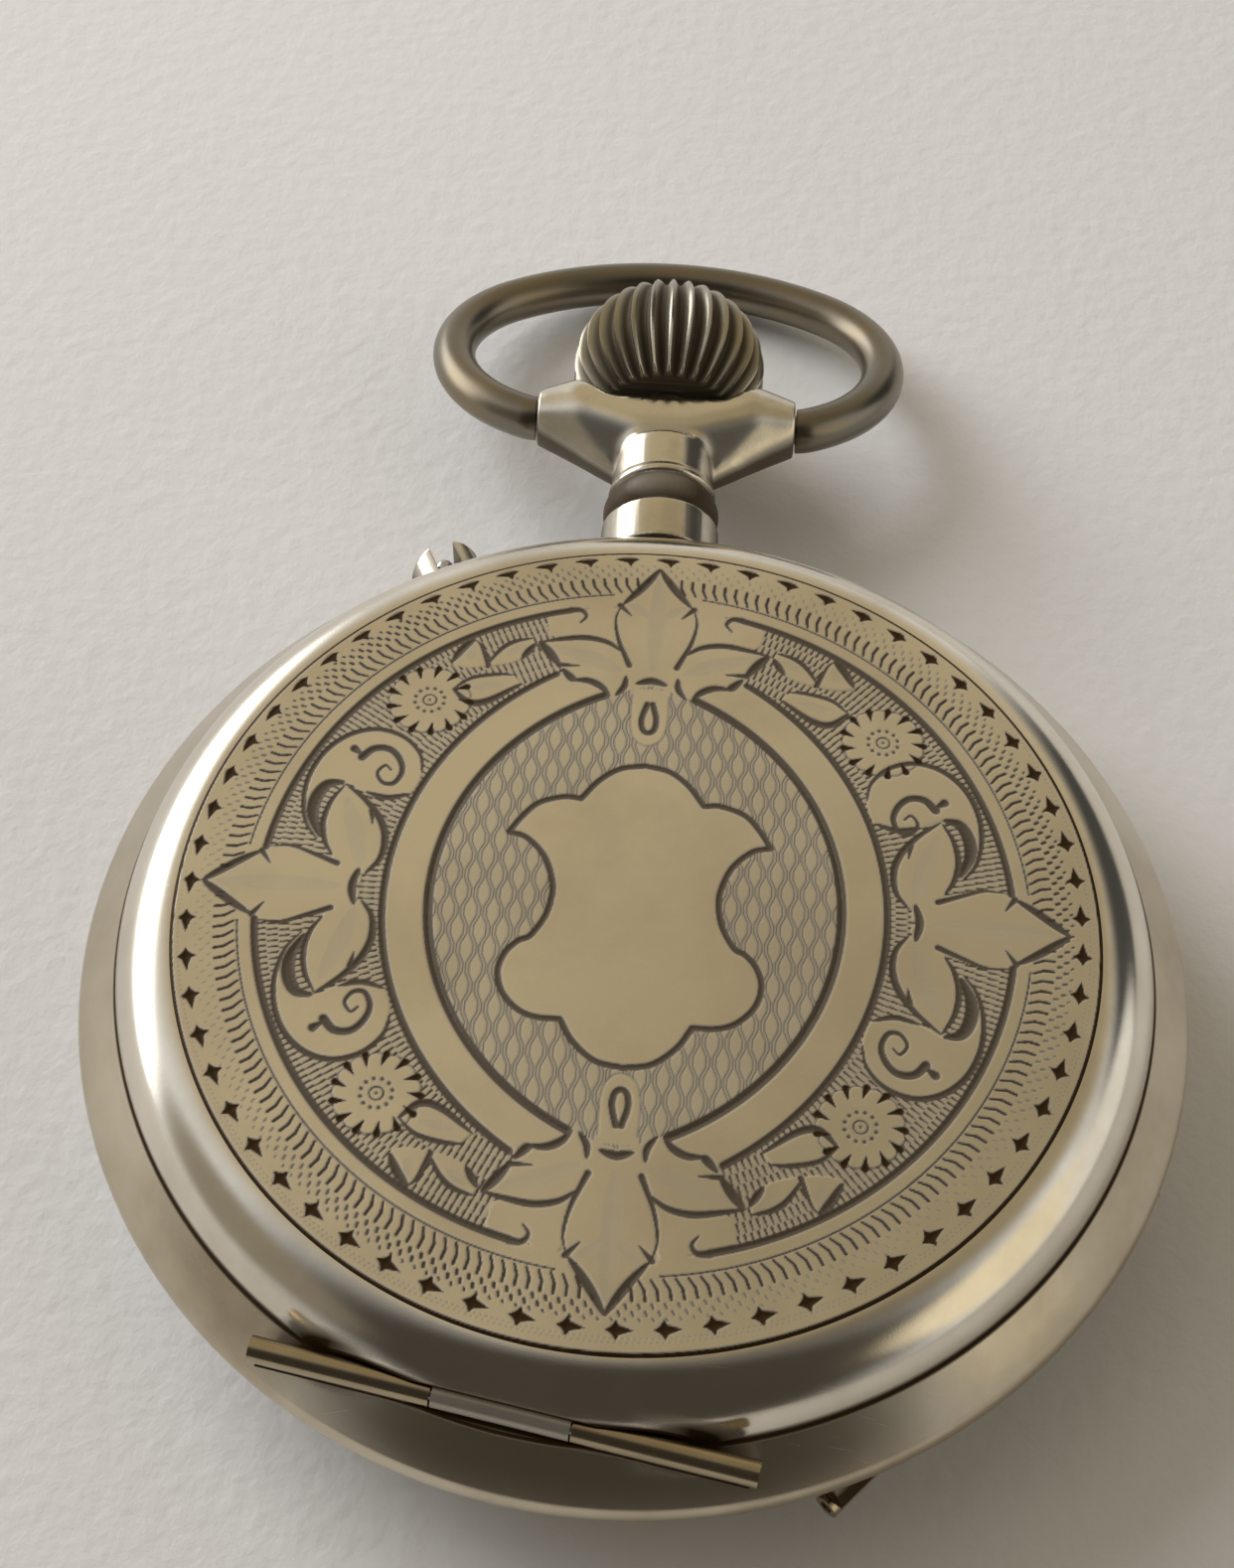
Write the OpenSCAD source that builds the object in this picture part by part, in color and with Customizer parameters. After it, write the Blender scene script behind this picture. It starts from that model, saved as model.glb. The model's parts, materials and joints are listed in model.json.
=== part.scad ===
// Hunter pocket watch, in millimetres, +Z up, lying on its back cover.
// The pendant points along +Y and the engraved front cover faces up.

/* [Case] */
// Diameter of the movement plate that the case is made for
movement_d = 41.2; // [41:0.2:44]
// Radial play between the movement plate and the case band
movement_play = 0.15; // [0.1:0.05:0.3]
// Width of the ledge inside the band that carries the movement plate
plate_ledge = 0.45; // [0.35:0.05:0.6]
// Thickness of the band from its bore to its widest line
band_wall = 4.25; // [4:0.05:5]
// Height of the band between the seats of the two covers
band_h = 5.3; // [5.1:0.1:6]
// Width of the seat between the band bore and the rim of a cover
seat_w = 2.25; // [2.15:0.05:2.5]
// Depth of the round edge of the band, from its widest line
edge_in = 0.25; // [0.2:0.05:0.4]
// Height of the round edge above and below the middle of the band
edge_up = 0.66; // [0.5:0.02:0.9]

/* [Covers] */
// Sheet thickness of the front and back covers
cover_wall = 0.6; // [0.45:0.05:0.7]
// Rise of the shallow dome inside the border of a cover
dome_rise = 0.6; // [0.4:0.05:0.9]
// Width of the rolled border of a cover
border_w = 2.7; // [2.4:0.05:3]
// Height of the rolled border of a cover
border_h = 2.7; // [2.5:0.05:3.2]
// Radius of the rolled border in section
border_arc = 3.4; // [3.2:0.1:4]
// Radius of the flat on the back cover that the watch lies on
rest_flat_r = 12; // [8:0.5:15]
// Gap between a closed cover and its seat on the band
cover_gap = 0.05; // [0.03:0.01:0.1]
// Sheet thickness of the inner dust cover
dust_wall = 0.35; // [0.25:0.05:0.45]
// Depth of the inner dust cover
dust_depth = 0.75; // [0.6:0.05:0.9]

/* [Hinges] */
// Direction of the front cover hinge around the case
front_hinge_az = -101; // [-110:1:-92]
// Direction of the back cover hinge around the case
back_hinge_az = -43; // [-50:1:-35]
// Outer diameter of the cover hinge tubes
hinge_tube_d = 1.1; // [0.9:0.05:1.2]
// Diameter of the cover hinge pins
hinge_pin_d = 0.56; // [0.4:0.02:0.6]
// Radial play of a hinge pin in the turning tube
hinge_play = 0.04; // [0.02:0.01:0.08]
// Whole length of a cover hinge
hinge_len = 21; // [18:0.5:22]
// Length of the middle tube that turns with a cover
hinge_mid_len = 5.7; // [4.5:0.1:7]
// Outer diameter of the dust cover hinge tubes
dust_tube_d = 0.8; // [0.7:0.05:0.9]
// Whole length of the dust cover hinge
dust_hinge_len = 10; // [8:0.5:12]

/* [Pendant, crown and bow] */
// Diameter of the collar where the pendant meets the band
neck_d = 5.95; // [5.6:0.05:6.2]
// Length of the collar beyond the widest line of the band
collar_len = 1.05; // [0.9:0.05:1.3]
// Length of the round ring above the collar
ring_len = 2; // [1.8:0.05:2.2]
// Swell of the round ring above the collar
ring_swell = 0.43; // [0.3:0.01:0.5]
// Length of the pendant above the ring
head_len = 7.35; // [7.2:0.05:7.6]
// Length of the round neck that shows between the ring and the head
neck_len = 2.95; // [2.6:0.05:3.1]
// Width of the pendant head between the bow ends
head_w = 13.4; // [12.6:0.2:14.4]
// Diameter of the pendant head at the bow ends
head_end_d = 2.9; // [2.6:0.1:3.2]
// Diameter of the shoulders of the pendant head
shoulder_d = 4.4; // [4.3:0.05:4.6]
// Depth of the dished seat under the crown
dish_depth = 1.9; // [1.8:0.05:2]
// Diameter of the crown
crown_d = 10.1; // [9.4:0.1:10.8]
// Height of the crown
crown_h = 7.3; // [7:0.1:7.6]
// Number of flutes on the crown
crown_flutes = 30; // [24:1:34]
// Depth of the crown flutes
flute_depth = 0.45; // [0.3:0.05:0.6]
// Travel of the crown when it is pressed
crown_travel = 0.5; // [0.3:0.05:0.6]
// Gap left under the pressed crown
crown_gap = 0.1; // [0.08:0.02:0.2]
// Wire diameter of the bow
bow_wire_d = 2.3; // [2:0.05:2.5]
// Width of the bow over the middle of its wire
bow_w = 23.3; // [22:0.1:25]
// Height of the bow over the middle of its wire
bow_h = 17.6; // [16.6:0.1:19]
// Bend radius of the sides of the bow
bow_side_r = 7.4; // [6.8:0.1:7.8]
// Diameter of the bow ends inside the pendant head
bow_pin_d = 1.5; // [1.2:0.1:1.7]
// Length of the bow ends inside the pendant head
bow_pin_len = 1.7; // [1.2:0.1:2]

/* [Winding] */
// Diameter of the winding stem
stem_d = 1.5; // [1.3:0.05:1.6]
// Outer diameter of the sleeve around the stem
sleeve_d = 3.4; // [3:0.1:3.6]
// Radial play of the stem, the sleeve and the setting pin
slide_play = 0.06; // [0.03:0.01:0.1]
// Diameter of the hand setting pin
set_pin_d = 1; // [0.8:0.05:1.2]
// Direction of the hand setting pin around the case
set_pin_az = 115; // [108:1:122]
// Travel of the hand setting pin
set_pin_travel = 0.8; // [0.5:0.05:0.9]
// Length of the hand setting pin that stands out of the band, without its round end
set_pin_out = 0.35; // [0.3:0.05:0.9]
// Tooth module of the winding wheels
winding_module = 0.2; // [0.19:0.005:0.205]
// Thickness of the winding wheels
winding_wheel_t = 0.5; // [0.4:0.05:0.6]

/* [Movement] */
// Thickness of the main plate
plate_t = 1.4; // [1.3:0.05:1.6]
// Distance from the stem axis to the main plate
stem_to_plate = 1.2; // [1.05:0.05:1.3]
// Thickness of the bridges
bridge_t = 1.1; // [0.9:0.05:1.2]
// Height of the mainspring barrel
barrel_h = 1.5; // [1.4:0.05:1.7]
// Thickness of the train wheels
wheel_t = 0.2; // [0.15:0.01:0.22]
// Distance of the small seconds from the middle
seconds_x = 10.2; // [10:0.1:10.6]
// Tooth module of the barrel and the centre pinion
barrel_module = 0.2; // [0.195:0.001:0.202]
// Tooth module of the centre wheel and the third pinion
centre_module = 0.15; // [0.145:0.001:0.152]
// Tooth module of the third wheel and the fourth pinion
third_module = 0.13; // [0.127:0.001:0.132]
// Tooth module of the fourth wheel and the escape pinion
fourth_module = 0.115; // [0.112:0.001:0.117]
// Outer radius of the balance wheel
balance_r = 7.5; // [7:0.1:7.6]
// Outer radius of the escape wheel
escape_r = 3.2; // [3:0.05:3.25]
// Diameter of the pivots
pivot_d = 0.4; // [0.3:0.02:0.44]
// Radial play of the pivots
pivot_play = 0.03; // [0.02:0.01:0.05]

/* [Dial and crystal] */
// Thickness of the dial
dial_t = 0.5; // [0.4:0.05:0.6]
// Thickness of the hands
hand_t = 0.1; // [0.08:0.01:0.12]
// Gap between one hand and the next
hand_gap = 0.15; // [0.12:0.01:0.18]
// Thickness of the crystal
crystal_t = 0.5; // [0.4:0.05:0.6]
// Rise of the crystal from its edge to its middle
crystal_rise = 0.6; // [0.5:0.05:0.7]
// Hour shown by the hands
shown_hour = 10; // [0:1:11]
// Minute shown by the hands
shown_minute = 9; // [0:1:59]

/* [Hidden] */
$fn = 96;

// Case radii
plate_r = movement_d / 2;
band_in = plate_r + movement_play;
ledge_in = band_in - movement_play - plate_ledge;
cover_r = band_in + seat_w;
band_out = band_in + band_wall;
border_in = cover_r - border_w;

// Heights from the table upward
cover_h = dome_rise + border_h;
seat_low = cover_h + cover_gap;
seat_top = seat_low + band_h;
stem_z = (seat_low + seat_top) / 2;
case_t = seat_top + cover_gap + cover_h;
plate_low = stem_z + stem_to_plate;
plate_top = plate_low + plate_t;
run_gap = 0.1;
barrel_low = plate_low - run_gap - barrel_h;
centre_top = barrel_low - 0.15;
bridge_top = centre_top - wheel_t - run_gap;
bridge_low = bridge_top - bridge_t;
winding_top = bridge_low - run_gap;
winding_low = winding_top - winding_wheel_t;
dial_top = plate_top + dial_t;
seconds_z = dial_top + 0.08;
hour_z = seconds_z + hand_t + hand_gap;
minute_z = hour_z + hand_t + hand_gap;
hands_top = minute_z + hand_t + 0.1;
minute_len = 17.2;
crystal_edge_r = band_in - 0.32;
crystal_ball = (pow(crystal_edge_r, 2) + pow(crystal_rise, 2)) / (2 * crystal_rise);
crystal_mid = minute_z + hand_t + 0.12 + pow(minute_len, 2) / (2 * crystal_ball);
crystal_low = crystal_mid - crystal_rise;
bridge_r = ledge_in - 0.75;
foot_in = bridge_r - 1.05;

// Hinge places
hinge_rho = cover_r - 0.7;
hinge_up = 0.5;
hinge_tube_r = hinge_tube_d / 2;
dust_rho = band_in - 0.05;
dust_up = 0.45;
dust_tube_r = dust_tube_d / 2;
dust_pin_r = 0.18;

// Pendant places along +Y
collar_y = band_out + collar_len;
ring_y = collar_y + ring_len;
head_y = ring_y + head_len;
neck_y = ring_y + neck_len;
bow_y = head_y - 1.95;
dish_y = head_y - dish_depth;
crown_y = dish_y + crown_gap + crown_travel;
dish_slope = 1.1;
crown_foot_r = crown_d / 2 * 0.68;
dish_r = crown_foot_r + 0.2;
crown_top = crown_y + crown_h;
neck_r = neck_d / 2;
sleeve_r = sleeve_d / 2;
sleeve_y = ledge_in + 1 + crown_travel;
stem_r = stem_d / 2;

// Bow made of one top arc and two side arcs
bow_r = bow_wire_d / 2;
bow_end_x = head_w / 2 + 0.15;
bow_side_x = bow_w / 2 - bow_side_r;
bow_half_h = bow_h / 2;
bow_top_r = (pow(bow_side_x, 2) + pow(bow_half_h, 2) - pow(bow_side_r, 2))
    / (2 * (bow_half_h - bow_side_r));
bow_join_a = atan2(bow_top_r - bow_half_h, bow_side_x);
bow_end_a = acos((bow_end_x + 0.5 - bow_side_x) / bow_side_r);
bow_mid_y = bow_side_r * sin(bow_end_a);
bow_reach = bow_mid_y + bow_half_h;
bow_tilt = asin((stem_z - bow_r - 0.15) / bow_reach);

// Train places in plan
barrel_n = 84;
centre_pinion_n = 12;
centre_n = 80;
third_pinion_n = 10;
third_n = 75;
fourth_pinion_n = 10;
fourth_n = 80;
escape_pinion_n = 8;
crown_wheel_n = 37;
ratchet_n = 52;
winding_pinion_n = 20;
barrel_az = 135;
barrel_d = barrel_module * (barrel_n + centre_pinion_n) / 2;
barrel_pos = [barrel_d * cos(barrel_az), barrel_d * sin(barrel_az)];
third_d = centre_module * (centre_n + third_pinion_n) / 2;
fourth_d = third_module * (third_n + fourth_pinion_n) / 2;
escape_d = fourth_module * (fourth_n + escape_pinion_n) / 2;
fourth_pos = [seconds_x, 0];
third_x = (pow(third_d, 2) - pow(fourth_d, 2) + pow(seconds_x, 2)) / (2 * seconds_x);
third_pos = [third_x, sqrt(pow(third_d, 2) - pow(third_x, 2))];
escape_az = -125;
escape_pos = fourth_pos + escape_d * [cos(escape_az), sin(escape_az)];
lever_az = -133;
lever_dir = [cos(lever_az), sin(lever_az)];
lever_side = [-sin(lever_az), cos(lever_az)];
fork_d = escape_r + 0.55;
fork_pos = escape_pos + fork_d * lever_dir;
balance_pos = escape_pos + (fork_d + 4.75) * lever_dir;
ratchet_d = winding_module * (crown_wheel_n + ratchet_n) / 2;
crown_wheel_y = barrel_pos[1] + sqrt(pow(ratchet_d, 2) - pow(barrel_pos[0], 2));
crown_wheel_r = winding_module * crown_wheel_n / 2;
winding_pinion_r = stem_z - winding_top + 0.15;
winding_pinion_y = crown_wheel_y + crown_wheel_r - 1.2 * winding_module + run_gap;
minute_d = 4;
minute_az = -60;
minute_pos = minute_d * [cos(minute_az), sin(minute_az)];
motion_module = 2 * minute_d / 40;

// Mesh phases, each set by the wheel that drives it
function mesh_phase(az, phase_a, na, nb) = az + 180 + 180 / nb - (phase_a - az) * na / nb;
third_az = atan2(third_pos[1], third_pos[0]);
fourth_az = atan2(fourth_pos[1] - third_pos[1], fourth_pos[0] - third_pos[0]);
centre_pinion_ph = mesh_phase(barrel_az + 180, 0, barrel_n, centre_pinion_n);
third_pinion_ph = mesh_phase(third_az, 0, centre_n, third_pinion_n);
fourth_pinion_ph = mesh_phase(fourth_az, 0, third_n, fourth_pinion_n);
escape_pinion_ph = mesh_phase(escape_az, 0, fourth_n, escape_pinion_n);
ratchet_az = atan2(barrel_pos[1] - crown_wheel_y, barrel_pos[0]);
crown_wheel_ph = 90;
ratchet_ph = mesh_phase(ratchet_az, crown_wheel_ph, crown_wheel_n, ratchet_n);
minute_wheel_ph = mesh_phase(minute_az, 0, 10, 30);
hour_wheel_ph = mesh_phase(minute_az + 180, 0, 8, 32);

// Outline of a toothed wheel with straight-sided teeth
function tooth_points(n, m, add, ded, root_f, tip_f, phase) = [
    for (i = [0 : n - 1], s = [-1, 1], k = [0, 1])
        let (a = phase + 360 * i / n,
             tip = (s < 0) ? k : 1 - k,
             r = n * m / 2 + (tip == 1 ? add * m : -ded * m),
             b = a + s * (tip == 1 ? tip_f : root_f) * 180 / n)
        [r * cos(b), r * sin(b)]];
function wheel_points(n, m, phase) = tooth_points(n, m, 0.8, 1.2, 0.48, 0.16, phase);
function leaf_points(n, m, phase) = tooth_points(n, m, 0.6, 1.15, 0.4, 0.16, phase);

// Points along an arc in a section, from one angle to another
function arc_points(cx, cy, r, a0, a1, steps) = [
    for (i = [0 : steps])
        let (a = a0 + (a1 - a0) * i / steps)
        [cx + r * cos(a), cy + r * sin(a)]];

// Rolled border of a cover: centre and end angles of its section arc
border_half = sqrt(pow(border_w, 2) + pow(border_h, 2)) / 2;
border_drop = sqrt(pow(border_arc, 2) - pow(border_half, 2)) / (2 * border_half);
border_cx = border_in + border_w / 2 - border_drop * border_h;
border_cz = border_h / 2 - border_drop * border_w;
border_a0 = atan2(-border_cz, cover_r - border_cx);
border_a1 = atan2(border_h - border_cz, border_in - border_cx);

// Outside of a cover over its rim, with the flat in its middle
function cover_outside(flat_r) = concat(
    [[0, 0], [cover_r, 0]],
    arc_points(border_cx, border_cz, border_arc, border_a0, border_a1, 16),
    [for (i = [1 : 6])
        let (r = border_in + (flat_r - border_in) * i / 6,
             q = (r - flat_r) / (border_in - flat_r))
        [r, border_h + dome_rise * (1 - pow(q, 2))]],
    flat_r > 0 ? [[0, cover_h]] : []);

// Inside of a cover, one sheet thickness below the outside
function cover_inside(flat_r) = concat(
    [[0, -1], [cover_r - cover_wall, -1], [cover_r - cover_wall, 0.3]],
    arc_points(border_cx, border_cz, border_arc - cover_wall, border_a0 + 4, border_a1, 14),
    [for (i = [1 : 6])
        let (r = border_in - 0.1 + (flat_r - border_in + 0.1) * i / 6,
             q = (r - flat_r) / (border_in - flat_r))
        [r, border_h - cover_wall + dome_rise * (1 - pow(q, 2))]],
    flat_r > 0 ? [[0, cover_h - cover_wall]] : []);

// Outside of the case band in section, and how much it is grown
solder_gap = 0.02;
function swelled(p, q, sag, steps) =
    let (d = q - p, len = norm(d),
         arc_r = (len * len / 4 + sag * sag) / (2 * sag),
         c = (p + q) / 2 + [d[1], -d[0]] / len * (sag - arc_r),
         a = atan2(p[1] - c[1], p[0] - c[0]),
         sweep = 2 * asin(len / 2 / arc_r))
    [for (i = [1 : steps])
        c + arc_r * [cos(a + sweep * i / steps), sin(a + sweep * i / steps)]];
function band_outside(grow) =
    let (rim = cover_r + 0.02 + grow, edge = band_out - edge_in + grow)
    concat(
        [[0, seat_low], [rim, seat_low], [edge, stem_z - edge_up]],
        swelled([edge, stem_z - edge_up], [edge, stem_z + edge_up], edge_in, 9),
        [[rim, seat_top], [0, seat_top]]);

// Turns its children to a direction around the case
module around(az) {
    rotate([0, 0, az])
        children();
}

// Mirrors its children about the middle of the case, for the back
module backward() {
    translate([0, 0, 2 * stem_z])
        mirror([0, 0, 1])
            children();
}

// A rod along the local hinge line, from one end to the other
module hinge_rod(rho, z, r, from, to) {
    translate([rho, from, z])
        rotate([-90, 0, 0])
            cylinder(r = r, h = to - from, $fn = 48);
}

// A toothed wheel with a rim, spokes and a hub
module crossed_wheel(n, m, phase, hub_r, rim_w, spokes, spoke_w) {
    rim_r = n * m / 2 - 1.2 * m - rim_w;
    difference() {
        polygon(wheel_points(n, m, phase));
        circle(r = rim_r);
    }
    difference() {
        union() {
            circle(r = hub_r);
            for (i = [0 : spokes - 1])
                rotate(360 / spokes * i)
                    translate([0, -spoke_w / 2])
                        square([rim_r + 0.5 * rim_w, spoke_w]);
        }
        circle(r = 0.2, $fn = 24);
    }
}

// A pivoted arbor between the bridge and the plate
module train_arbor(body_r) {
    translate([0, 0, bridge_top + 0.05])
        cylinder(r = body_r, h = plate_low - bridge_top - 0.1, $fn = 32);
    translate([0, 0, bridge_low + 0.05])
        cylinder(d = pivot_d, h = plate_low - bridge_low + 0.5, $fn = 32);
}

// The cover sheet with its rim cut back along the hinge
module cover_sheet(flat_r) {
    difference() {
        rotate_extrude()
            polygon(cover_outside(flat_r));
        rotate_extrude()
            polygon(cover_inside(flat_r));
        translate([hinge_rho - 0.05, -hinge_len, -2])
            cube([5, 2 * hinge_len, cover_h + 3]);
        hinge_rod(hinge_rho, hinge_up - cover_gap, hinge_tube_r + 0.1,
            -hinge_len, hinge_len);
    }
}

// A cover with its turning hinge tube, in the place of the front cover
module hinged_cover(flat_r) {
    translate([0, 0, seat_top + cover_gap])
        cover_sheet(flat_r);
    hz = seat_top + hinge_up;
    difference() {
        union() {
            hinge_rod(hinge_rho, hz, hinge_tube_r, -hinge_mid_len / 2, hinge_mid_len / 2);
            translate([0, hinge_mid_len / 2, hz])
                rotate([90, 0, 0])
                    linear_extrude(height = hinge_mid_len)
                        polygon([[hinge_rho, 0], [hinge_rho - 0.05, 0.8],
                            [hinge_rho - 0.5, 1.1], [hinge_rho - 0.75, 0.9],
                            [hinge_rho - 0.5, 0]]);
        }
        hinge_rod(hinge_rho, hz, hinge_pin_d / 2 + hinge_play, -hinge_len, hinge_len);
    }
}

// The two fixed tubes of a cover hinge
module fixed_tubes() {
    hz = seat_top + hinge_up;
    for (s = [0, 1])
        mirror([0, s, 0])
            difference() {
                hinge_rod(hinge_rho, hz, hinge_tube_r, hinge_mid_len / 2 + 0.08, hinge_len / 2);
                hinge_rod(hinge_rho, hz, hinge_pin_d / 2 + 0.01, 0, hinge_len);
            }
}

// Lugs of the band that carry the outer ends of the fixed tubes
module hinge_lugs() {
    lug_from = hinge_mid_len / 2 + 0.2;
    lug_to = hinge_len / 2 - 0.3;
    for (s = [0, 1])
        mirror([0, s, 0])
            translate([0, lug_to, 0])
                rotate([90, 0, 0])
                    linear_extrude(height = lug_to - lug_from)
                        polygon([[hinge_rho - 0.6, seat_top - 1.4],
                            [hinge_rho - 0.1, seat_top - 1.4],
                            [hinge_rho + hinge_tube_r, seat_top + 0.15],
                            [hinge_rho - 0.6, seat_top - 0.05]]);
}

module case_band() {
    color([0.78, 0.78, 0.76])
    difference() {
        union() {
            rotate_extrude($fn = 180)
                polygon(band_outside(0));
            around(front_hinge_az)
                hinge_lugs();
            backward()
                around(back_hinge_az)
                    hinge_lugs();
        }
        // bore for the dial, seat for the plate and room for the movement
        translate([0, 0, plate_low])
            cylinder(r = band_in, h = 10);
        translate([0, 0, -1])
            cylinder(r = ledge_in, h = 20);
        // passage of the winding stem and its sleeve
        translate([0, 0, stem_z])
            rotate([-90, 0, 0])
                cylinder(r = sleeve_r + slide_play, h = 40);
        // passage of the hand setting pin
        around(set_pin_az)
            translate([0, 0, stem_z])
                rotate([0, 90, 0])
                    cylinder(d = set_pin_d + 2 * slide_play, h = 40);
        // gutters of the hinges
        around(front_hinge_az) {
            hinge_rod(hinge_rho, seat_top + hinge_up, hinge_tube_r + 0.02, -20, 20);
            hinge_rod(hinge_rho, seat_top + hinge_up, hinge_tube_r + 0.12,
                -hinge_mid_len / 2 - 0.1, hinge_mid_len / 2 + 0.1);
        }
        backward()
            around(back_hinge_az) {
                hinge_rod(hinge_rho, seat_top + hinge_up, hinge_tube_r + 0.02, -20, 20);
                hinge_rod(hinge_rho, seat_top + hinge_up, hinge_tube_r + 0.12,
                    -hinge_mid_len / 2 - 0.1, hinge_mid_len / 2 + 0.1);
                hinge_rod(dust_rho, seat_top + dust_up, dust_tube_r + 0.12, -9, 9);
            }
        // pockets of the two case springs
        around(58)
            rotate_extrude(angle = 64)
                translate([ledge_in - 0.5, stem_z - 2])
                    square([1.9, 1.25]);
        around(66)
            rotate_extrude(angle = 8)
                translate([ledge_in - 0.9, stem_z - 2])
                    square([band_in + 1.6 - ledge_in + 0.9, 10]);
        around(front_hinge_az - 42)
            rotate_extrude(angle = 44)
                translate([ledge_in - 0.5, stem_z - 1.2])
                    square([1.3, 1.9]);
    }
}

module pendant() {
    ring_r = neck_r - 0.02 - ring_swell;
    color([0.74, 0.74, 0.72])
    difference() {
        union() {
            translate([0, 0, stem_z])
                rotate([-90, 0, 0])
                    rotate_extrude()
                        polygon(concat(
                            [[0, cover_r + 0.6], [neck_r, cover_r + 0.6],
                             [neck_r, collar_y - 0.12], [neck_r - 0.12, collar_y]],
                            [[ring_r, collar_y + 0.02]],
                            swelled([ring_r, collar_y + 0.02], [ring_r, ring_y - 0.02],
                                ring_swell, 12),
                            [[neck_r - 0.22, ring_y], [neck_r - 0.22, ring_y + 0.3],
                             [neck_r - 0.4, ring_y + 0.6], [neck_r - 0.4, neck_y - 0.15],
                             [neck_r - 0.55, neck_y], [0, neck_y]]));
            // head that spreads out to the two bow ends
            translate([0, 0, stem_z])
                hull() {
                    translate([-neck_r + 0.7, ring_y + 1.85, 0])
                        rotate([0, 90, 0])
                            cylinder(r = 0.8, h = 2 * neck_r - 1.4, $fn = 48);
                    translate([-neck_r / 2, bow_y - 1.2, 0])
                        rotate([0, 90, 0])
                            cylinder(d = shoulder_d + 0.1, h = neck_r, $fn = 48);
                    translate([-head_w / 2 + 2.1, bow_y, 0])
                        rotate([0, 90, 0])
                            cylinder(d = shoulder_d, h = head_w - 4.2, $fn = 48);
                    translate([-head_w / 2, bow_y, 0])
                        rotate([0, 90, 0])
                            cylinder(d = head_end_d, h = head_w, $fn = 48);
                }
        }
        // dished seat that the crown is pressed into
        translate([0, dish_y, stem_z])
            rotate([-90, 0, 0])
                cylinder(r1 = dish_r, r2 = dish_r + 3 / dish_slope, h = 3);
        // bottom follows the band
        around(20)
            rotate_extrude($fn = 180)
                polygon(band_outside(solder_gap));
        // bore of the sleeve and holes of the bow ends
        translate([0, 0, stem_z])
            rotate([-90, 0, 0])
                cylinder(r = sleeve_r + slide_play, h = 60);
        for (s = [-1, 1])
            translate([s * (head_w / 2 + 1), bow_y, stem_z])
                rotate([0, -90 * s, 0])
                    cylinder(d = bow_pin_d + 0.12, h = bow_pin_len + 1.1, $fn = 48);
    }
}

module bow() {
    color([0.66, 0.66, 0.64])
    translate([0, bow_y, stem_z])
        rotate([-bow_tilt, 0, 0])
            translate([0, bow_mid_y, 0]) {
                translate([0, bow_half_h - bow_top_r, 0])
                    rotate([0, 0, bow_join_a + 0.3])
                        rotate_extrude(angle = 179.4 - 2 * bow_join_a)
                            translate([bow_top_r, 0])
                                circle(r = bow_r, $fn = 48);
                for (s = [0, 1])
                    mirror([s, 0, 0]) {
                        translate([bow_side_x, 0, 0])
                            rotate([0, 0, -bow_end_a])
                                rotate_extrude(angle = bow_join_a + bow_end_a - 0.5)
                                    translate([bow_side_r, 0])
                                        circle(r = bow_r, $fn = 48);
                        // small knot where two bends meet
                        translate([bow_side_x + bow_side_r * cos(bow_join_a),
                            bow_side_r * sin(bow_join_a), 0])
                            sphere(r = bow_r + 0.03, $fn = 48);
                        translate([bow_end_x, -bow_mid_y, 0])
                            rotate([0, 90, 0])
                                cylinder(r = bow_r + 0.02, h = 1.1, $fn = 48);
                        translate([bow_end_x - bow_pin_len, -bow_mid_y, 0])
                            rotate([0, 90, 0])
                                cylinder(d = bow_pin_d, h = bow_pin_len + 0.5, $fn = 48);
                    }
            }
}

// Radius of the crown along its height, over the flutes
function crown_radius(t) = t < 0.316
    ? crown_foot_r + (crown_d / 2 * 0.96 - crown_foot_r) * t / 0.316
    : t < 0.4
    ? crown_d / 2 * (0.96 + 0.04 * sin(90 * (t - 0.316) / 0.084))
    : crown_d / 2 * sqrt(1 - 0.93 * pow((t - 0.4) / 0.6, 2.4));

module crown() {
    rings = 12;
    cuts = crown_flutes * 4;
    points = concat(
        [for (j = [0 : rings], i = [0 : cuts - 1])
            let (t = j / rings,
                 dip = (i % 4 == 0) ? 1 : (i % 4 == 2) ? 0 : 0.35,
                 r = crown_radius(t) - flute_depth * dip * (1 - 0.5 * t),
                 a = 360 * i / cuts)
            [r * cos(a), r * sin(a), t * crown_h]],
        [[0, 0, 0], [0, 0, crown_h]]);
    low = (rings + 1) * cuts;
    faces = concat(
        [for (j = [0 : rings - 1], i = [0 : cuts - 1], k = [0, 1])
            let (n = (i + 1) % cuts)
            k == 0
                ? [j * cuts + i, (j + 1) * cuts + i, (j + 1) * cuts + n]
                : [j * cuts + i, (j + 1) * cuts + n, j * cuts + n]],
        [for (i = [0 : cuts - 1]) [low, i, (i + 1) % cuts]],
        [for (i = [0 : cuts - 1])
            [low + 1, rings * cuts + (i + 1) % cuts, rings * cuts + i]]);
    color([0.62, 0.62, 0.6])
    translate([0, crown_y, stem_z])
        rotate([-90, 0, 0])
            difference() {
                polyhedron(points = points, faces = faces);
                translate([0, 0, -1])
                    cylinder(r = stem_r + 0.01, h = crown_h * 0.6 + 1, $fn = 48);
            }
}

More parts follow.
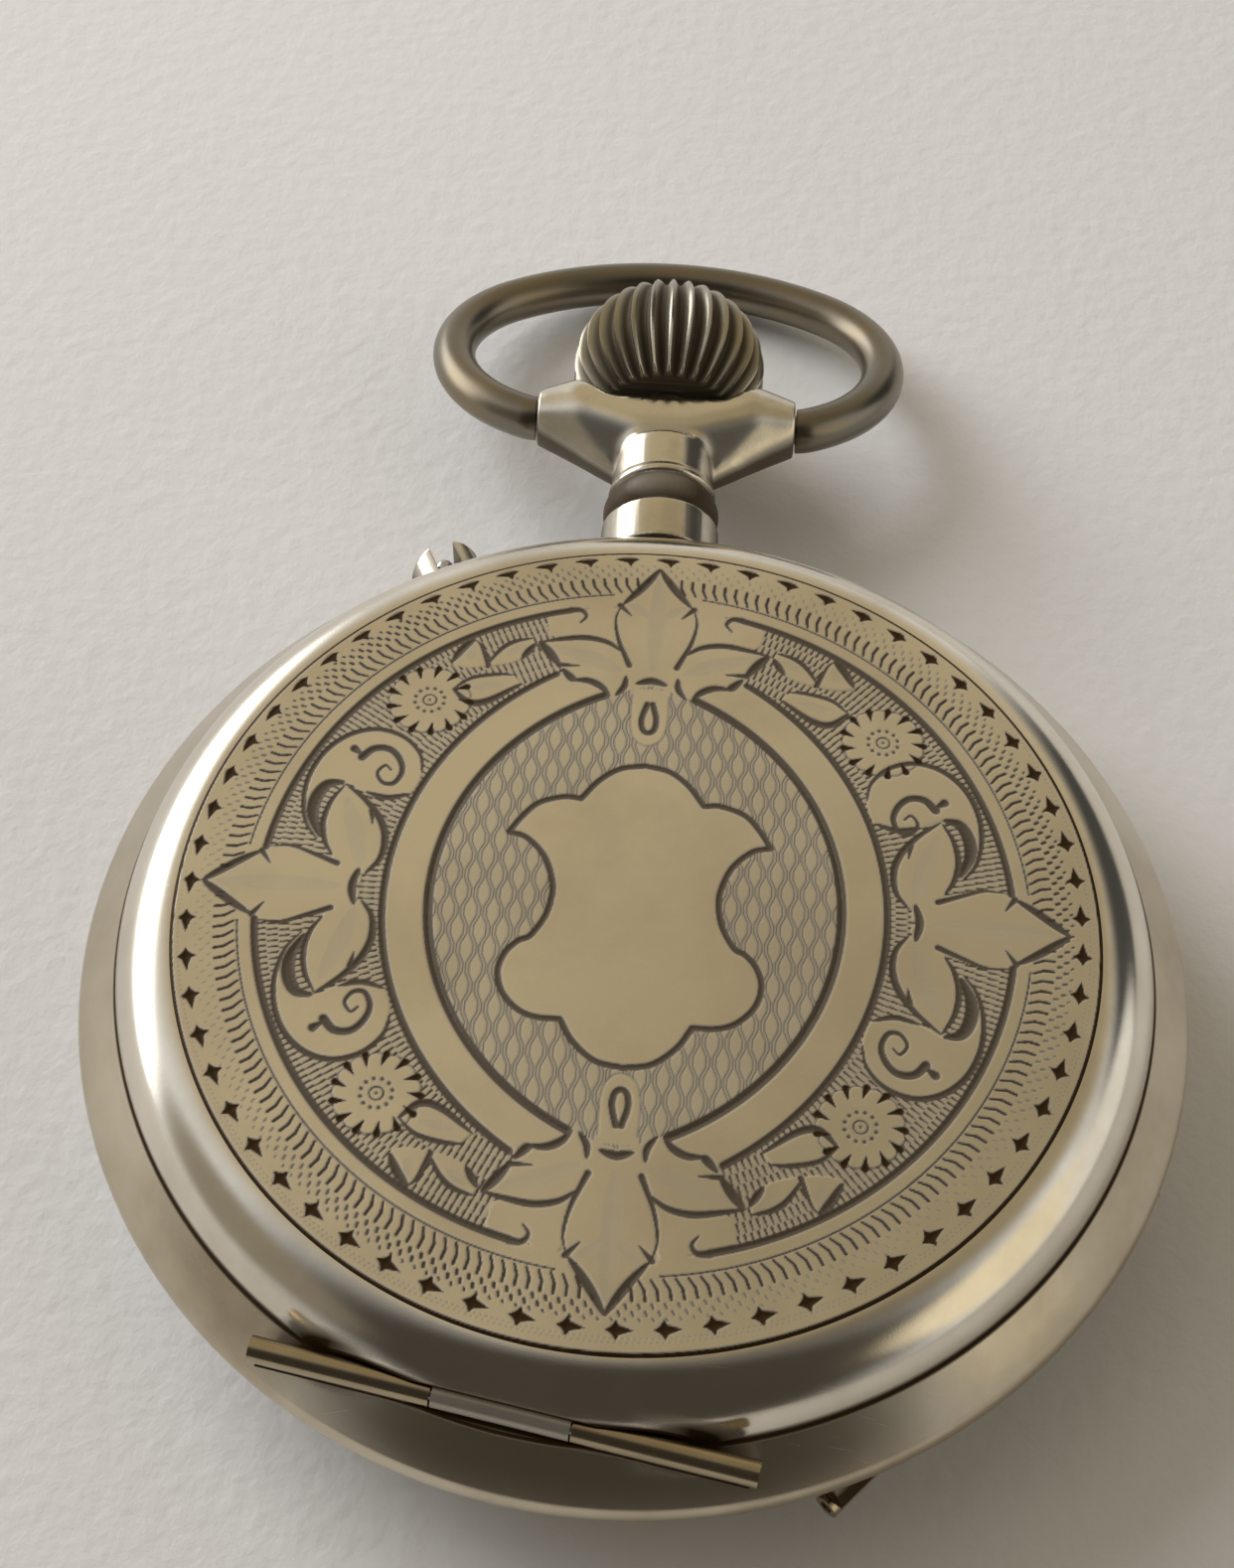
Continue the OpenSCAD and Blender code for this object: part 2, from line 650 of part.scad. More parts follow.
module winding_stem() {
    inner_y = winding_pinion_y - 1.25;
    color([0.6, 0.62, 0.66])
    translate([0, 0, stem_z])
        rotate([-90, 0, 0]) {
            translate([0, 0, inner_y])
                cylinder(r = stem_r - 0.25, h = 2, $fn = 48);
            translate([-0.5, -0.5, winding_pinion_y + 0.35])
                cube([1, 1, 2.4]);
            translate([0, 0, winding_pinion_y + 2.45])
                cylinder(r = stem_r, h = crown_y + crown_h * 0.6 - 2.55 - winding_pinion_y,
                    $fn = 48);
        }
}

module push_sleeve() {
    color([0.58, 0.6, 0.64])
    translate([0, 0, stem_z])
        rotate([-90, 0, 0])
            difference() {
                translate([0, 0, sleeve_y])
                    cylinder(r = sleeve_r, h = crown_y - 0.05 - sleeve_y);
                cylinder(r = stem_r + slide_play, h = 60, $fn = 48);
            }
}

module front_cover() {
    color([0.8, 0.79, 0.74])
    around(front_hinge_az)
        hinged_cover(0);
}

module front_hinge_tubes() {
    color([0.75, 0.75, 0.72])
    around(front_hinge_az)
        fixed_tubes();
}

module front_hinge_pin() {
    color([0.55, 0.56, 0.58])
    around(front_hinge_az)
        hinge_rod(hinge_rho, seat_top + hinge_up, hinge_pin_d / 2,
            -hinge_len / 2 + 0.15, hinge_len / 2 - 0.15);
}

module back_cover() {
    color([0.8, 0.79, 0.75])
    backward()
        around(back_hinge_az)
            hinged_cover(rest_flat_r);
}

module back_hinge_tubes() {
    color([0.75, 0.75, 0.72])
    backward()
        around(back_hinge_az)
            fixed_tubes();
}

module back_hinge_pin() {
    color([0.55, 0.56, 0.58])
    backward()
        around(back_hinge_az)
            hinge_rod(hinge_rho, seat_top + hinge_up, hinge_pin_d / 2,
                -hinge_len / 2 + 0.15, hinge_len / 2 - 0.15);
}

module dust_cover() {
    edge_r = cover_r - cover_wall - 0.45;
    hz = seat_top + dust_up;
    base = seat_top + cover_gap;
    color([0.79, 0.78, 0.73])
    backward()
        around(back_hinge_az)
            difference() {
                union() {
                    difference() {
                        translate([0, 0, base])
                            rotate_extrude()
                                polygon([[0, dust_depth], [band_in - 1.2, dust_depth],
                                    [band_in - 0.3, dust_wall], [edge_r, dust_wall],
                                    [edge_r, 0], [band_in - 0.45, 0],
                                    [band_in - 1.35, dust_depth - dust_wall],
                                    [0, dust_depth - dust_wall]]);
                        translate([dust_rho - 0.05, -dust_hinge_len, base - 1])
                            cube([5, 2 * dust_hinge_len, 4]);
                        hinge_rod(dust_rho, hz, dust_tube_r + 0.1, -9, 9);
                    }
                    hinge_rod(dust_rho, hz, dust_tube_r, -1.5, 1.5);
                    translate([dust_rho - 0.9, -1.5, hz - 0.1])
                        cube([0.9, 3, 0.3]);
                }
                hinge_rod(dust_rho, hz, dust_pin_r + hinge_play, -9, 9);
            }
}

module dust_hinge_tubes() {
    hz = seat_top + dust_up;
    color([0.74, 0.74, 0.7])
    backward()
        around(back_hinge_az)
            for (s = [0, 1])
                mirror([0, s, 0])
                    difference() {
                        union() {
                            hinge_rod(dust_rho, hz, dust_tube_r, 1.6, dust_hinge_len / 2);
                            translate([dust_rho, 1.6, seat_top])
                                cube([0.42, dust_hinge_len / 2 - 1.6, dust_up]);
                        }
                        hinge_rod(dust_rho, hz, dust_pin_r + 0.01, 0, 9);
                    }
}

module dust_hinge_pin() {
    color([0.55, 0.56, 0.58])
    backward()
        around(back_hinge_az)
            hinge_rod(dust_rho, seat_top + dust_up, dust_pin_r,
                -dust_hinge_len / 2 + 0.1, dust_hinge_len / 2 - 0.1);
}

module bezel() {
    edge = crystal_low;
    out_r = band_in + 0.6;
    color([0.8, 0.8, 0.77])
    rotate_extrude()
        polygon([[out_r, seat_top], [out_r, edge + 0.1], [out_r - 0.5, edge + 0.6],
            [band_in - 0.6, edge + 0.6], [band_in - 0.6, edge + 0.42],
            [band_in - 0.3, edge + 0.42], [band_in - 0.3, edge - 0.02],
            [band_in - 0.9, edge - 0.02], [band_in - 0.9, dial_top + 0.05],
            [band_in + 0.05, dial_top + 0.05], [band_in + 0.05, seat_top]]);
}

module crystal() {
    color([0.85, 0.9, 0.92, 0.3])
    difference() {
        intersection() {
            union() {
                translate([0, 0, crystal_low])
                    cylinder(r = crystal_edge_r, h = 0.4);
                translate([0, 0, crystal_low])
                    cylinder(r = band_in - 0.65, h = 4);
            }
            translate([0, 0, crystal_mid + crystal_t - crystal_ball])
                sphere(r = crystal_ball, $fn = 200);
        }
        translate([0, 0, crystal_mid - crystal_ball])
            sphere(r = crystal_ball, $fn = 200);
    }
}

module setting_pin() {
    color([0.7, 0.7, 0.7])
    around(set_pin_az)
        translate([ledge_in + 0.3, 0, stem_z])
            rotate([0, 90, 0])
                union() {
                    cylinder(d = set_pin_d, h = band_out + set_pin_out - ledge_in - 0.3, $fn = 32);
                    translate([0, 0, band_out + set_pin_out - ledge_in - 0.3])
                        sphere(d = set_pin_d, $fn = 32);
                }
}

module setting_guard() {
    color([0.77, 0.77, 0.74])
    around(set_pin_az)
        difference() {
            intersection() {
                translate([band_out - 2.9, 0, stem_z - 3])
                    cylinder(r = 3.65, h = 6);
                translate([band_out - 3, 0, stem_z])
                    rotate([0, 90, 0])
                        cylinder(r = 1.75, h = 8);
            }
            around(20)
                rotate_extrude($fn = 180)
                    polygon(band_outside(solder_gap));
            translate([band_out - 4, -set_pin_d / 2 - 0.1, stem_z - 4])
                cube([10, set_pin_d + 0.2, 8]);
        }
}

module lock_spring() {
    in_r = ledge_in + 0.35;
    catch_r = band_in + 0.9;
    color([0.5, 0.52, 0.56])
    difference() {
        union() {
            around(68.5)
                rotate_extrude(angle = 50)
                    translate([in_r, stem_z - 1.95])
                        square([0.6, 1]);
            around(68.5)
                rotate_extrude(angle = 3.5)
                    translate([in_r, stem_z - 1.95])
                        square([catch_r + 0.55 - in_r, 1]);
            // catch that stands up behind the lip of the front cover
            around(68.5)
                rotate_extrude(angle = 3.5)
                    translate([catch_r, stem_z - 1.95])
                        square([0.55, seat_top + 0.45 - stem_z + 1.95]);
        }
        around(115.5)
            translate([in_r - 1, 0, stem_z - 1.45])
                rotate([0, 90, 0])
                    cylinder(d = 0.5, h = 3, $fn = 32);
    }
}

module lift_spring() {
    in_r = ledge_in + 0.1;
    color([0.5, 0.52, 0.56])
    union() {
        around(front_hinge_az - 41)
            rotate_extrude(angle = 40)
                translate([in_r, stem_z - 1.1])
                    square([0.5, 1.2]);
        around(front_hinge_az - 41)
            rotate_extrude(angle = 4)
                translate([in_r, stem_z - 1.1])
                    square([0.66, 1.6]);
    }
}

module dial() {
    color([0.95, 0.94, 0.9])
    translate([0, 0, plate_top])
        difference() {
            cylinder(r = plate_r - 0.3, h = dial_t);
            translate([0, 0, -1])
                cylinder(r = 1.35, h = 3);
            translate([seconds_x, 0, -1])
                cylinder(r = 0.6, h = 3, $fn = 48);
            // sunk small seconds
            translate([seconds_x, 0, dial_t - 0.12])
                cylinder(r = 4.4, h = 1);
        }
}

// Outline of a spade hand that points along +X
module spade_outline(len, wide, hub_r, hole_r, tail) {
    difference() {
        union() {
            circle(r = hub_r);
            polygon([[-tail, -0.2 * wide], [len * 0.68, -0.12 * wide], [len * 0.68, 0.12 * wide],
                [-tail, 0.2 * wide]]);
            translate([len * 0.7, 0])
                circle(r = 0.5 * wide);
            polygon([[len * 0.7, -0.46 * wide], [len * 0.82, -0.12 * wide], [len, 0],
                [len * 0.82, 0.12 * wide], [len * 0.7, 0.46 * wide]]);
        }
        circle(r = hole_r);
    }
}

module hour_hand() {
    color([0.12, 0.16, 0.35])
    translate([0, 0, hour_z])
        rotate([0, 0, 180 - 30 * (shown_hour + shown_minute / 60)])
            linear_extrude(height = hand_t)
                spade_outline(11.5, 2.3, 1.5, 1.06, 0);
}

module minute_hand() {
    color([0.12, 0.16, 0.35])
    translate([0, 0, minute_z])
        rotate([0, 0, 180 - 6 * shown_minute])
            linear_extrude(height = hand_t)
                spade_outline(minute_len, 1.9, 1.3, 0.62, 0);
}

module seconds_hand() {
    color([0.12, 0.16, 0.35])
    translate([seconds_x, 0, seconds_z])
        rotate([0, 0, -60])
            linear_extrude(height = hand_t)
                difference() {
                    union() {
                        circle(r = 0.55, $fn = 48);
                        polygon([[-1.6, -0.16], [3.7, -0.06], [3.7, 0.06], [-1.6, 0.16]]);
                    }
                    circle(r = 0.26, $fn = 32);
                }
}

module cannon_pinion() {
    color([0.6, 0.62, 0.66])
    difference() {
        union() {
            translate([0, 0, plate_top - 0.7])
                linear_extrude(height = 0.33)
                    polygon(leaf_points(10, motion_module, 0));
            translate([0, 0, plate_top - 0.7])
                cylinder(r = 0.74, h = minute_z - plate_top + 0.66, $fn = 48);
            translate([0, 0, minute_z - 0.04])
                cylinder(r = 0.6, h = hands_top - minute_z + 0.04, $fn = 48);
        }
        translate([0, 0, plate_top - 2])
            cylinder(r = 0.43, h = 5, $fn = 32);
    }
}

module minute_wheel() {
    color([0.8, 0.68, 0.4])
    translate([minute_pos[0], minute_pos[1], 0])
        difference() {
            union() {
                translate([0, 0, plate_top - 0.6])
                    linear_extrude(height = 0.2)
                        polygon(wheel_points(30, motion_module, minute_wheel_ph));
                translate([0, 0, plate_top - 0.6])
                    linear_extrude(height = 0.5)
                        polygon(leaf_points(8, motion_module, 0));
            }
            translate([0, 0, plate_top - 2])
                cylinder(r = 0.33, h = 3, $fn = 32);
        }
}

module hour_wheel() {
    color([0.8, 0.68, 0.4])
    difference() {
        union() {
            translate([0, 0, plate_top - 0.32])
                linear_extrude(height = 0.22)
                    polygon(wheel_points(32, motion_module, hour_wheel_ph));
            translate([0, 0, plate_top - 0.32])
                cylinder(r = 1.04, h = hour_z + hand_t + 0.05 - plate_top + 0.32, $fn = 48);
        }
        translate([0, 0, plate_top - 2])
            cylinder(r = 0.8, h = 5, $fn = 48);
    }
}

module main_plate() {
    color([0.78, 0.72, 0.55])
    difference() {
        union() {
            translate([0, 0, plate_low])
                cylinder(r = plate_r, h = plate_t);
            // block that guides the inner end of the stem
            translate([-1.1, winding_pinion_y - 1.3, bridge_top])
                cube([2.2, 1, plate_low - bridge_top + 0.1]);
        }
        // recess of the motion work, with the stud of the minute wheel
        difference() {
            translate([0, 0, plate_top - 0.75])
                linear_extrude(height = 3) {
                    circle(r = 4.1);
                    translate(minute_pos)
                        circle(r = 3.7);
                }
            translate([minute_pos[0], minute_pos[1], plate_low])
                cylinder(r = 0.29, h = plate_t - 0.15, $fn = 32);
        }
        translate([0, 0, plate_low - 1])
            cylinder(r = 0.66, h = 5, $fn = 48);
        for (p = [third_pos, escape_pos, balance_pos, fork_pos])
            translate([p[0], p[1], plate_low - 1])
                cylinder(d = pivot_d + 2 * pivot_play, h = 5, $fn = 32);
        translate([seconds_x, 0, plate_low - 1])
            cylinder(r = 0.3, h = 5, $fn = 32);
        translate([barrel_pos[0], barrel_pos[1], plate_low - 1])
            cylinder(r = 0.85, h = 5, $fn = 48);
        // room for the winding pinion and bore for the stem
        translate([-2.6, winding_pinion_y - 0.3, plate_low - 3])
            cube([5.2, 2.3, 2.9 + plate_t]);
        translate([0, 0, stem_z])
            rotate([-90, 0, 0])
                cylinder(r = stem_r - 0.25 + slide_play, h = 30, $fn = 48);
        // holes of the bridge and case screws
        for (p = screw_places())
            translate([p[0], p[1], plate_low - 1])
                cylinder(r = 0.42, h = 1.7, $fn = 32);
        for (a = case_screw_az)
            around(a)
                translate([plate_r - 1.1, 0, plate_low - 1])
                    cylinder(r = 0.42, h = 1.9, $fn = 32);
        for (s = [-1, 1])
            translate([fork_pos[0] + s * 3.2 * lever_side[0], fork_pos[1] + s * 3.2 * lever_side[1],
                plate_low - 1])
                cylinder(r = 0.27, h = 1.6, $fn = 32);
    }
}

// Places of the bridge screws, on the feet of the bridges
screw_r = (bridge_r + foot_in) / 2;
screw_az = [75, 110, 160, 193, 40, -25, -96, -74];
function screw_places() = [for (a = screw_az) screw_r * [cos(a), sin(a)]];
case_screw_az = [-50, 225];

// Plan of each bridge
module barrel_bridge_plan() {
    intersection() {
        circle(r = bridge_r);
        polygon([[-24, -9], [-3.2, -3], [-2.9, 2.6], [2.2, 4.6], [6, 12.8], [9.4, 24], [-24, 24]]);
    }
}

module train_bridge_plan() {
    intersection() {
        circle(r = bridge_r);
        polygon([[-2.5, -2.3], [2.2, -3], [5.6, -6], [9.4, -7.6], [24, -14], [24, 24], [10.1, 24],
            [6.6, 12.5], [2.8, 4], [-2.2, 2.1]]);
    }
}

module balance_cock_plan() {
    intersection() {
        circle(r = bridge_r);
        union() {
            translate(balance_pos)
                circle(r = 2.6);
            polygon([balance_pos + [-2.4, 1], balance_pos + [2.4, 1], [9.5, -24], [-7.5, -24]]);
        }
    }
}

// A bridge: its plan with feet along the rim that stand on the plate
module bridge_body() {
    translate([0, 0, bridge_low])
        linear_extrude(height = bridge_t)
            children();
    translate([0, 0, bridge_low])
        linear_extrude(height = plate_low - bridge_low)
            difference() {
                children();
                circle(r = foot_in);
            }
}

// Hole with a counterbore for a jewel
module jewel_seat(p) {
    translate([p[0], p[1], bridge_low - 1]) {
        cylinder(r = 0.5, h = bridge_t + 2, $fn = 32);
        cylinder(r = 0.77, h = 1.3, $fn = 32);
    }
}

// Holes and head sinks of the bridge screws
module bridge_screw_holes() {
    for (p = screw_places())
        translate([p[0], p[1], bridge_low - 1]) {
            cylinder(r = 0.42, h = 6, $fn = 32);
            cylinder(r = 0.82, h = 1.5, $fn = 32);
        }
}

module barrel_bridge() {
    color([0.8, 0.74, 0.58])
    difference() {
        bridge_body()
            barrel_bridge_plan();
        bridge_screw_holes();
        translate([barrel_pos[0], barrel_pos[1], 0])
            cylinder(r = 1.26, h = 20, $fn = 48);
        // way of the winding pinion and of the stem
        translate([-2.6, winding_pinion_y - 0.3, 0])
            cube([5.2, 2.3, 20]);
        translate([-1.2, winding_pinion_y - 0.3, stem_z - 1.2])
            cube([2.4, 20, 20]);
        // stud holes of the crown wheel and the click
        translate([0, crown_wheel_y, bridge_low - 1])
            cylinder(r = 1.02, h = 1.6, $fn = 48);
        translate([click_pos[0], click_pos[1], bridge_low - 1])
            cylinder(r = 0.42, h = 1.6, $fn = 32);
        translate([spring_pos[0], spring_pos[1], bridge_low - 1])
            cylinder(r = 0.32, h = 1.6, $fn = 32);
    }
}

module train_bridge() {
    color([0.8, 0.74, 0.58])
    difference() {
        bridge_body()
            train_bridge_plan();
        bridge_screw_holes();
        for (p = [[0, 0], third_pos, fourth_pos, escape_pos])
            jewel_seat(p);
    }
}

module balance_cock() {
    color([0.8, 0.74, 0.58])
    difference() {
        union() {
            bridge_body()
                balance_cock_plan();
            // boss that the regulator turns on
            translate([balance_pos[0], balance_pos[1], bridge_low - 0.3])
                cylinder(r = 1.3, h = 0.4, $fn = 48);
        }
        bridge_screw_holes();
        jewel_seat(balance_pos);
    }
}

module pallet_cock() {
    low = plate_low - 0.95;
    color([0.8, 0.74, 0.58])
    difference() {
        translate([fork_pos[0], fork_pos[1], low])
            rotate([0, 0, lever_az + 90])
                union() {
                    translate([-3.2, -0.6, 0])
                        cube([6.4, 1.2, 0.28]);
                    for (s = [-3.2, 3.2])
                        translate([s, 0, 0])
                            cylinder(r = 0.6, h = 0.95, $fn = 32);
                }
        translate([fork_pos[0], fork_pos[1], low - 1])
            cylinder(d = pivot_d + 2 * pivot_play, h = 2, $fn = 32);
    }
}

module mainspring_barrel() {
    drum_r = barrel_module * barrel_n / 2 - 0.45;
    top = plate_low - run_gap;
    color([0.82, 0.7, 0.42])
    translate([barrel_pos[0], barrel_pos[1], 0])
        difference() {
            union() {
                translate([0, 0, barrel_low])
                    cylinder(r = drum_r, h = barrel_h);
                translate([0, 0, top - 0.4])
                    linear_extrude(height = 0.35)
                        polygon(wheel_points(barrel_n, barrel_module, 0));
            }
            translate([0, 0, barrel_low + 0.2])
                cylinder(r = drum_r - 0.3, h = barrel_h - 0.4);
            translate([0, 0, barrel_low - 1])
                cylinder(r = 1.05, h = barrel_h + 2, $fn = 48);
        }
}

// Points of a spiral ribbon
function spiral_points(r0, r1, turns, t, steps) = concat(
    [for (i = [0 : steps])
        let (a = 360 * turns * i / steps, r = r0 + (r1 - r0) * i / steps)
        [r * cos(a), r * sin(a)]],
    [for (i = [0 : steps])
        let (k = steps - i, a = 360 * turns * k / steps, r = r0 + (r1 - r0) * k / steps - t)
        [r * cos(a), r * sin(a)]]);

module mainspring() {
    drum_r = barrel_module * barrel_n / 2 - 0.45;
    color([0.45, 0.47, 0.5])
    translate([barrel_pos[0], barrel_pos[1], barrel_low + 0.28])
        linear_extrude(height = barrel_h - 0.56)
            polygon(spiral_points(2.2, drum_r - 0.36, 7, 0.22, 140));
}

module barrel_arbor() {
    color([0.55, 0.57, 0.6])
    translate([barrel_pos[0], barrel_pos[1], 0]) {
        translate([0, 0, barrel_low + 0.26])
            cylinder(r = 1.7, h = barrel_h - 0.52, $fn = 48);
        translate([0, 0, winding_top])
            cylinder(r = 1, h = plate_low - 0.04 - winding_top, $fn = 48);
        translate([0, 0, bridge_low + 0.1])
            cylinder(r = 1.2, h = bridge_t - 0.2, $fn = 48);
        translate([-0.6, -0.6, winding_low])
            cube([1.2, 1.2, winding_wheel_t + 0.2]);
        translate([0, 0, plate_low - 0.1])
            cylinder(r = 0.8, h = 0.9, $fn = 48);
    }
}

module ratchet_wheel() {
    color([0.72, 0.73, 0.75])
    translate([barrel_pos[0], barrel_pos[1], 0]) {
        translate([0, 0, winding_low])
            linear_extrude(height = winding_wheel_t)
                difference() {
                    polygon(wheel_points(ratchet_n, winding_module, ratchet_ph));
                    square([1.22, 1.22], center = true);
                }
        // screw that holds the wheel on the square of the arbor
        difference() {
            translate([0, 0, winding_low - 0.25])
                cylinder(r = 1.3, h = 0.25, $fn = 48);
            translate([-2, -0.12, winding_low - 0.4])
                cube([4, 0.24, 0.28]);
        }
    }
}

module crown_wheel() {
    color([0.72, 0.73, 0.75])
    translate([0, crown_wheel_y, 0]) {
        translate([0, 0, winding_low])
            linear_extrude(height = winding_wheel_t)
                polygon(wheel_points(crown_wheel_n, winding_module, crown_wheel_ph));
        // stud that turns in the bridge, and the screw head outside
        translate([0, 0, winding_low])
            cylinder(r = 0.97, h = winding_wheel_t + run_gap + 0.5, $fn = 48);
        difference() {
            translate([0, 0, winding_low - 0.22])
                cylinder(r = 1.7, h = 0.22, $fn = 48);
            translate([-2, -0.12, winding_low - 0.4])
                cube([4, 0.24, 0.28]);
        }
    }
}

module winding_pinion() {
    color([0.66, 0.68, 0.7])
    translate([0, winding_pinion_y, stem_z])
        rotate([-90, 0, 0])
            linear_extrude(height = 1.7)
                difference() {
                    polygon(tooth_points(winding_pinion_n,
                        2 * (winding_pinion_r - 0.12) / winding_pinion_n, 0.6, 1.6, 0.42, 0.16,
                        90 + 180 / winding_pinion_n));
                    square([1.06, 1.06], center = true);
                }
}

// Click and its spring beside the ratchet wheel
ratchet_r = winding_module * ratchet_n / 2;
click_az = 205;
click_dir = [cos(click_az), sin(click_az)];
click_pos = barrel_pos + (ratchet_r + 1.75) * click_dir;
spring_pos = barrel_pos + (ratchet_r + 2.1) * [cos(click_az - 42), sin(click_az - 42)];

module click() {
    color([0.6, 0.62, 0.66])
    translate([click_pos[0], click_pos[1], 0])
        rotate([0, 0, click_az]) {
            translate([0, 0, winding_low])
                linear_extrude(height = winding_wheel_t) {
                    circle(r = 0.9, $fn = 48);
                    polygon([[-0.6, 0.6], [-1.82, 1.85], [-1.5, 2.1], [0.5, 0.75]]);
                }
            translate([0, 0, winding_low])
                cylinder(r = 0.38, h = winding_wheel_t + run_gap + 0.5, $fn = 32);
            difference() {
                translate([0, 0, winding_low - 0.25])
                    cylinder(r = 0.75, h = 0.25, $fn = 48);
                translate([-2, -0.1, winding_low - 0.4])
                    cube([4, 0.2, 0.28]);
            }
        }
}

module click_spring() {
    color([0.55, 0.57, 0.6])
    translate([spring_pos[0], spring_pos[1], 0])
        rotate([0, 0, click_az - 42]) {
            translate([0, 0, winding_low])
                linear_extrude(height = winding_wheel_t)
                    circle(r = 0.7, $fn = 48);
            translate([0, 0, winding_low + 0.1])
                linear_extrude(height = winding_wheel_t - 0.2)
                    polygon([[0.35, 0], [0.65, 0], [1.6, 3], [1.35, 3.1]]);
            translate([0, 0, winding_low])
                cylinder(r = 0.3, h = winding_wheel_t + run_gap + 0.5, $fn = 32);
        }
}

module centre_wheel() {
    color([0.82, 0.7, 0.42])
    union() {
        translate([0, 0, centre_top - wheel_t])
            linear_extrude(height = wheel_t)
                crossed_wheel(centre_n, centre_module, 0, 1.2, 0.55, 5, 0.5);
        translate([0, 0, plate_low - 0.6])
            linear_extrude(height = 0.55)
                polygon(leaf_points(centre_pinion_n, barrel_module, centre_pinion_ph));
        translate([0, 0, bridge_top + 0.05])
            cylinder(r = 0.6, h = plate_low - bridge_top + 0.3, $fn = 48);
        translate([0, 0, bridge_low + 0.05])
            cylinder(d = pivot_d, h = 2, $fn = 32);
        translate([0, 0, plate_low])
            cylinder(r = 0.42, h = minute_z + hand_t - plate_low, $fn = 32);
    }
}

module third_wheel() {
    color([0.82, 0.7, 0.42])
    translate([third_pos[0], third_pos[1], 0])
        union() {
            translate([0, 0, plate_low - 0.9])
                linear_extrude(height = wheel_t)
                    crossed_wheel(third_n, third_module, 0, 0.9, 0.45, 5, 0.4);
            translate([0, 0, bridge_top + 0.06])
                linear_extrude(height = wheel_t + 0.25)
                    polygon(leaf_points(third_pinion_n, centre_module, third_pinion_ph));
            train_arbor(0.36);
        }
}

module fourth_wheel() {
    color([0.82, 0.7, 0.42])
    translate([fourth_pos[0], fourth_pos[1], 0])
        union() {
            translate([0, 0, plate_low - 1.35])
                linear_extrude(height = wheel_t)
                    crossed_wheel(fourth_n, fourth_module, 0, 0.8, 0.42, 5, 0.36);
            translate([0, 0, plate_low - 1])
                linear_extrude(height = 0.4)
                    polygon(leaf_points(fourth_pinion_n, third_module, fourth_pinion_ph));
            train_arbor(0.36);
            translate([0, 0, plate_low])
                cylinder(r = 0.25, h = seconds_z + hand_t - plate_low, $fn = 32);
        }
}

module escape_wheel() {
    teeth = 15;
    color([0.82, 0.7, 0.42])
    translate([escape_pos[0], escape_pos[1], 0])
        union() {
            translate([0, 0, plate_low - 0.45])
                linear_extrude(height = 0.15) {
                    difference() {
                        polygon([for (i = [0 : teeth - 1], k = [0 : 2])
                            let (a = 360 / teeth * i + [0, 3, 12][k],
                                 r = escape_r - [0, 0.08, 0.75][k])
                            [r * cos(a), r * sin(a)]]);
                        circle(r = escape_r - 1.2);
                    }
                    circle(r = 0.7, $fn = 48);
                    for (i = [0 : 3])
                        rotate(90 * i)
                            translate([0, -0.18])
                                square([escape_r - 1, 0.36]);
                }
            translate([0, 0, plate_low - 1.45])
                linear_extrude(height = 0.5)
                    polygon(leaf_points(escape_pinion_n, fourth_module, escape_pinion_ph));
            train_arbor(0.28);
        }
}

module pallet_fork() {
    reach = fork_d - (escape_r + 0.35) * cos(30);
    wide = (escape_r + 0.35) * sin(30);
    low = plate_low - 0.46;
    color([0.6, 0.62, 0.66])
    translate([fork_pos[0], fork_pos[1], 0])
        rotate([0, 0, lever_az]) {
            translate([0, 0, low])
                linear_extrude(height = 0.18)
                    polygon([[-reach + 0.12, -wide - 0.3], [0.2, -0.55], [3.3, -0.28], [3.3, 0.28],
                        [0.2, 0.55], [-reach + 0.12, wide + 0.3], [-reach - 0.02, wide - 0.02],
                        [-0.15, 0.25], [-0.15, -0.25], [-reach - 0.02, -wide + 0.02]]);
            translate([0, 0, plate_low - 0.66])
                cylinder(r = 0.3, h = 0.6, $fn = 32);
            translate([0, 0, plate_low - 0.93])
                cylinder(d = pivot_d, h = 1.4, $fn = 32);
        }
}

module balance_wheel() {
    low = plate_low - 1.65;
    color([0.82, 0.7, 0.42])
    translate([balance_pos[0], balance_pos[1], 0])
        union() {
            translate([0, 0, low])
                linear_extrude(height = 0.55)
                    difference() {
                        circle(r = balance_r - 0.35);
                        circle(r = balance_r - 1);
                    }
            translate([0, 0, low + 0.1])
                linear_extrude(height = 0.3)
                    difference() {
                        union() {
                            circle(r = 1.1, $fn = 48);
                            translate([-balance_r + 0.8, -0.4])
                                square([2 * balance_r - 1.6, 0.8]);
                        }
                        circle(r = 0.35, $fn = 32);
                    }
            for (i = [0 : 15])
                rotate([0, 0, 22.5 * i + 11.25])
                    translate([balance_r - 0.5, 0, low + 0.27])
                        rotate([0, 90, 0])
                            cylinder(r = 0.22, h = 0.5, $fn = 24);
        }
}

module balance_staff() {
    color([0.6, 0.62, 0.66])
    translate([balance_pos[0], balance_pos[1], 0])
        union() {
            translate([0, 0, bridge_top + 0.05])
                cylinder(r = 0.34, h = plate_low - bridge_top - 0.1, $fn = 32);
            translate([0, 0, bridge_low + 0.05])
                cylinder(d = pivot_d, h = plate_low - bridge_low + 0.5, $fn = 32);
            // roller with its impulse pin
            translate([0, 0, plate_low - 1])
                cylinder(r = 1.35, h = 0.4, $fn = 48);
            translate([1.05 * cos(lever_az + 180), 1.05 * sin(lever_az + 180), plate_low - 0.7])
                cylinder(r = 0.14, h = 0.45, $fn = 24);
        }
}

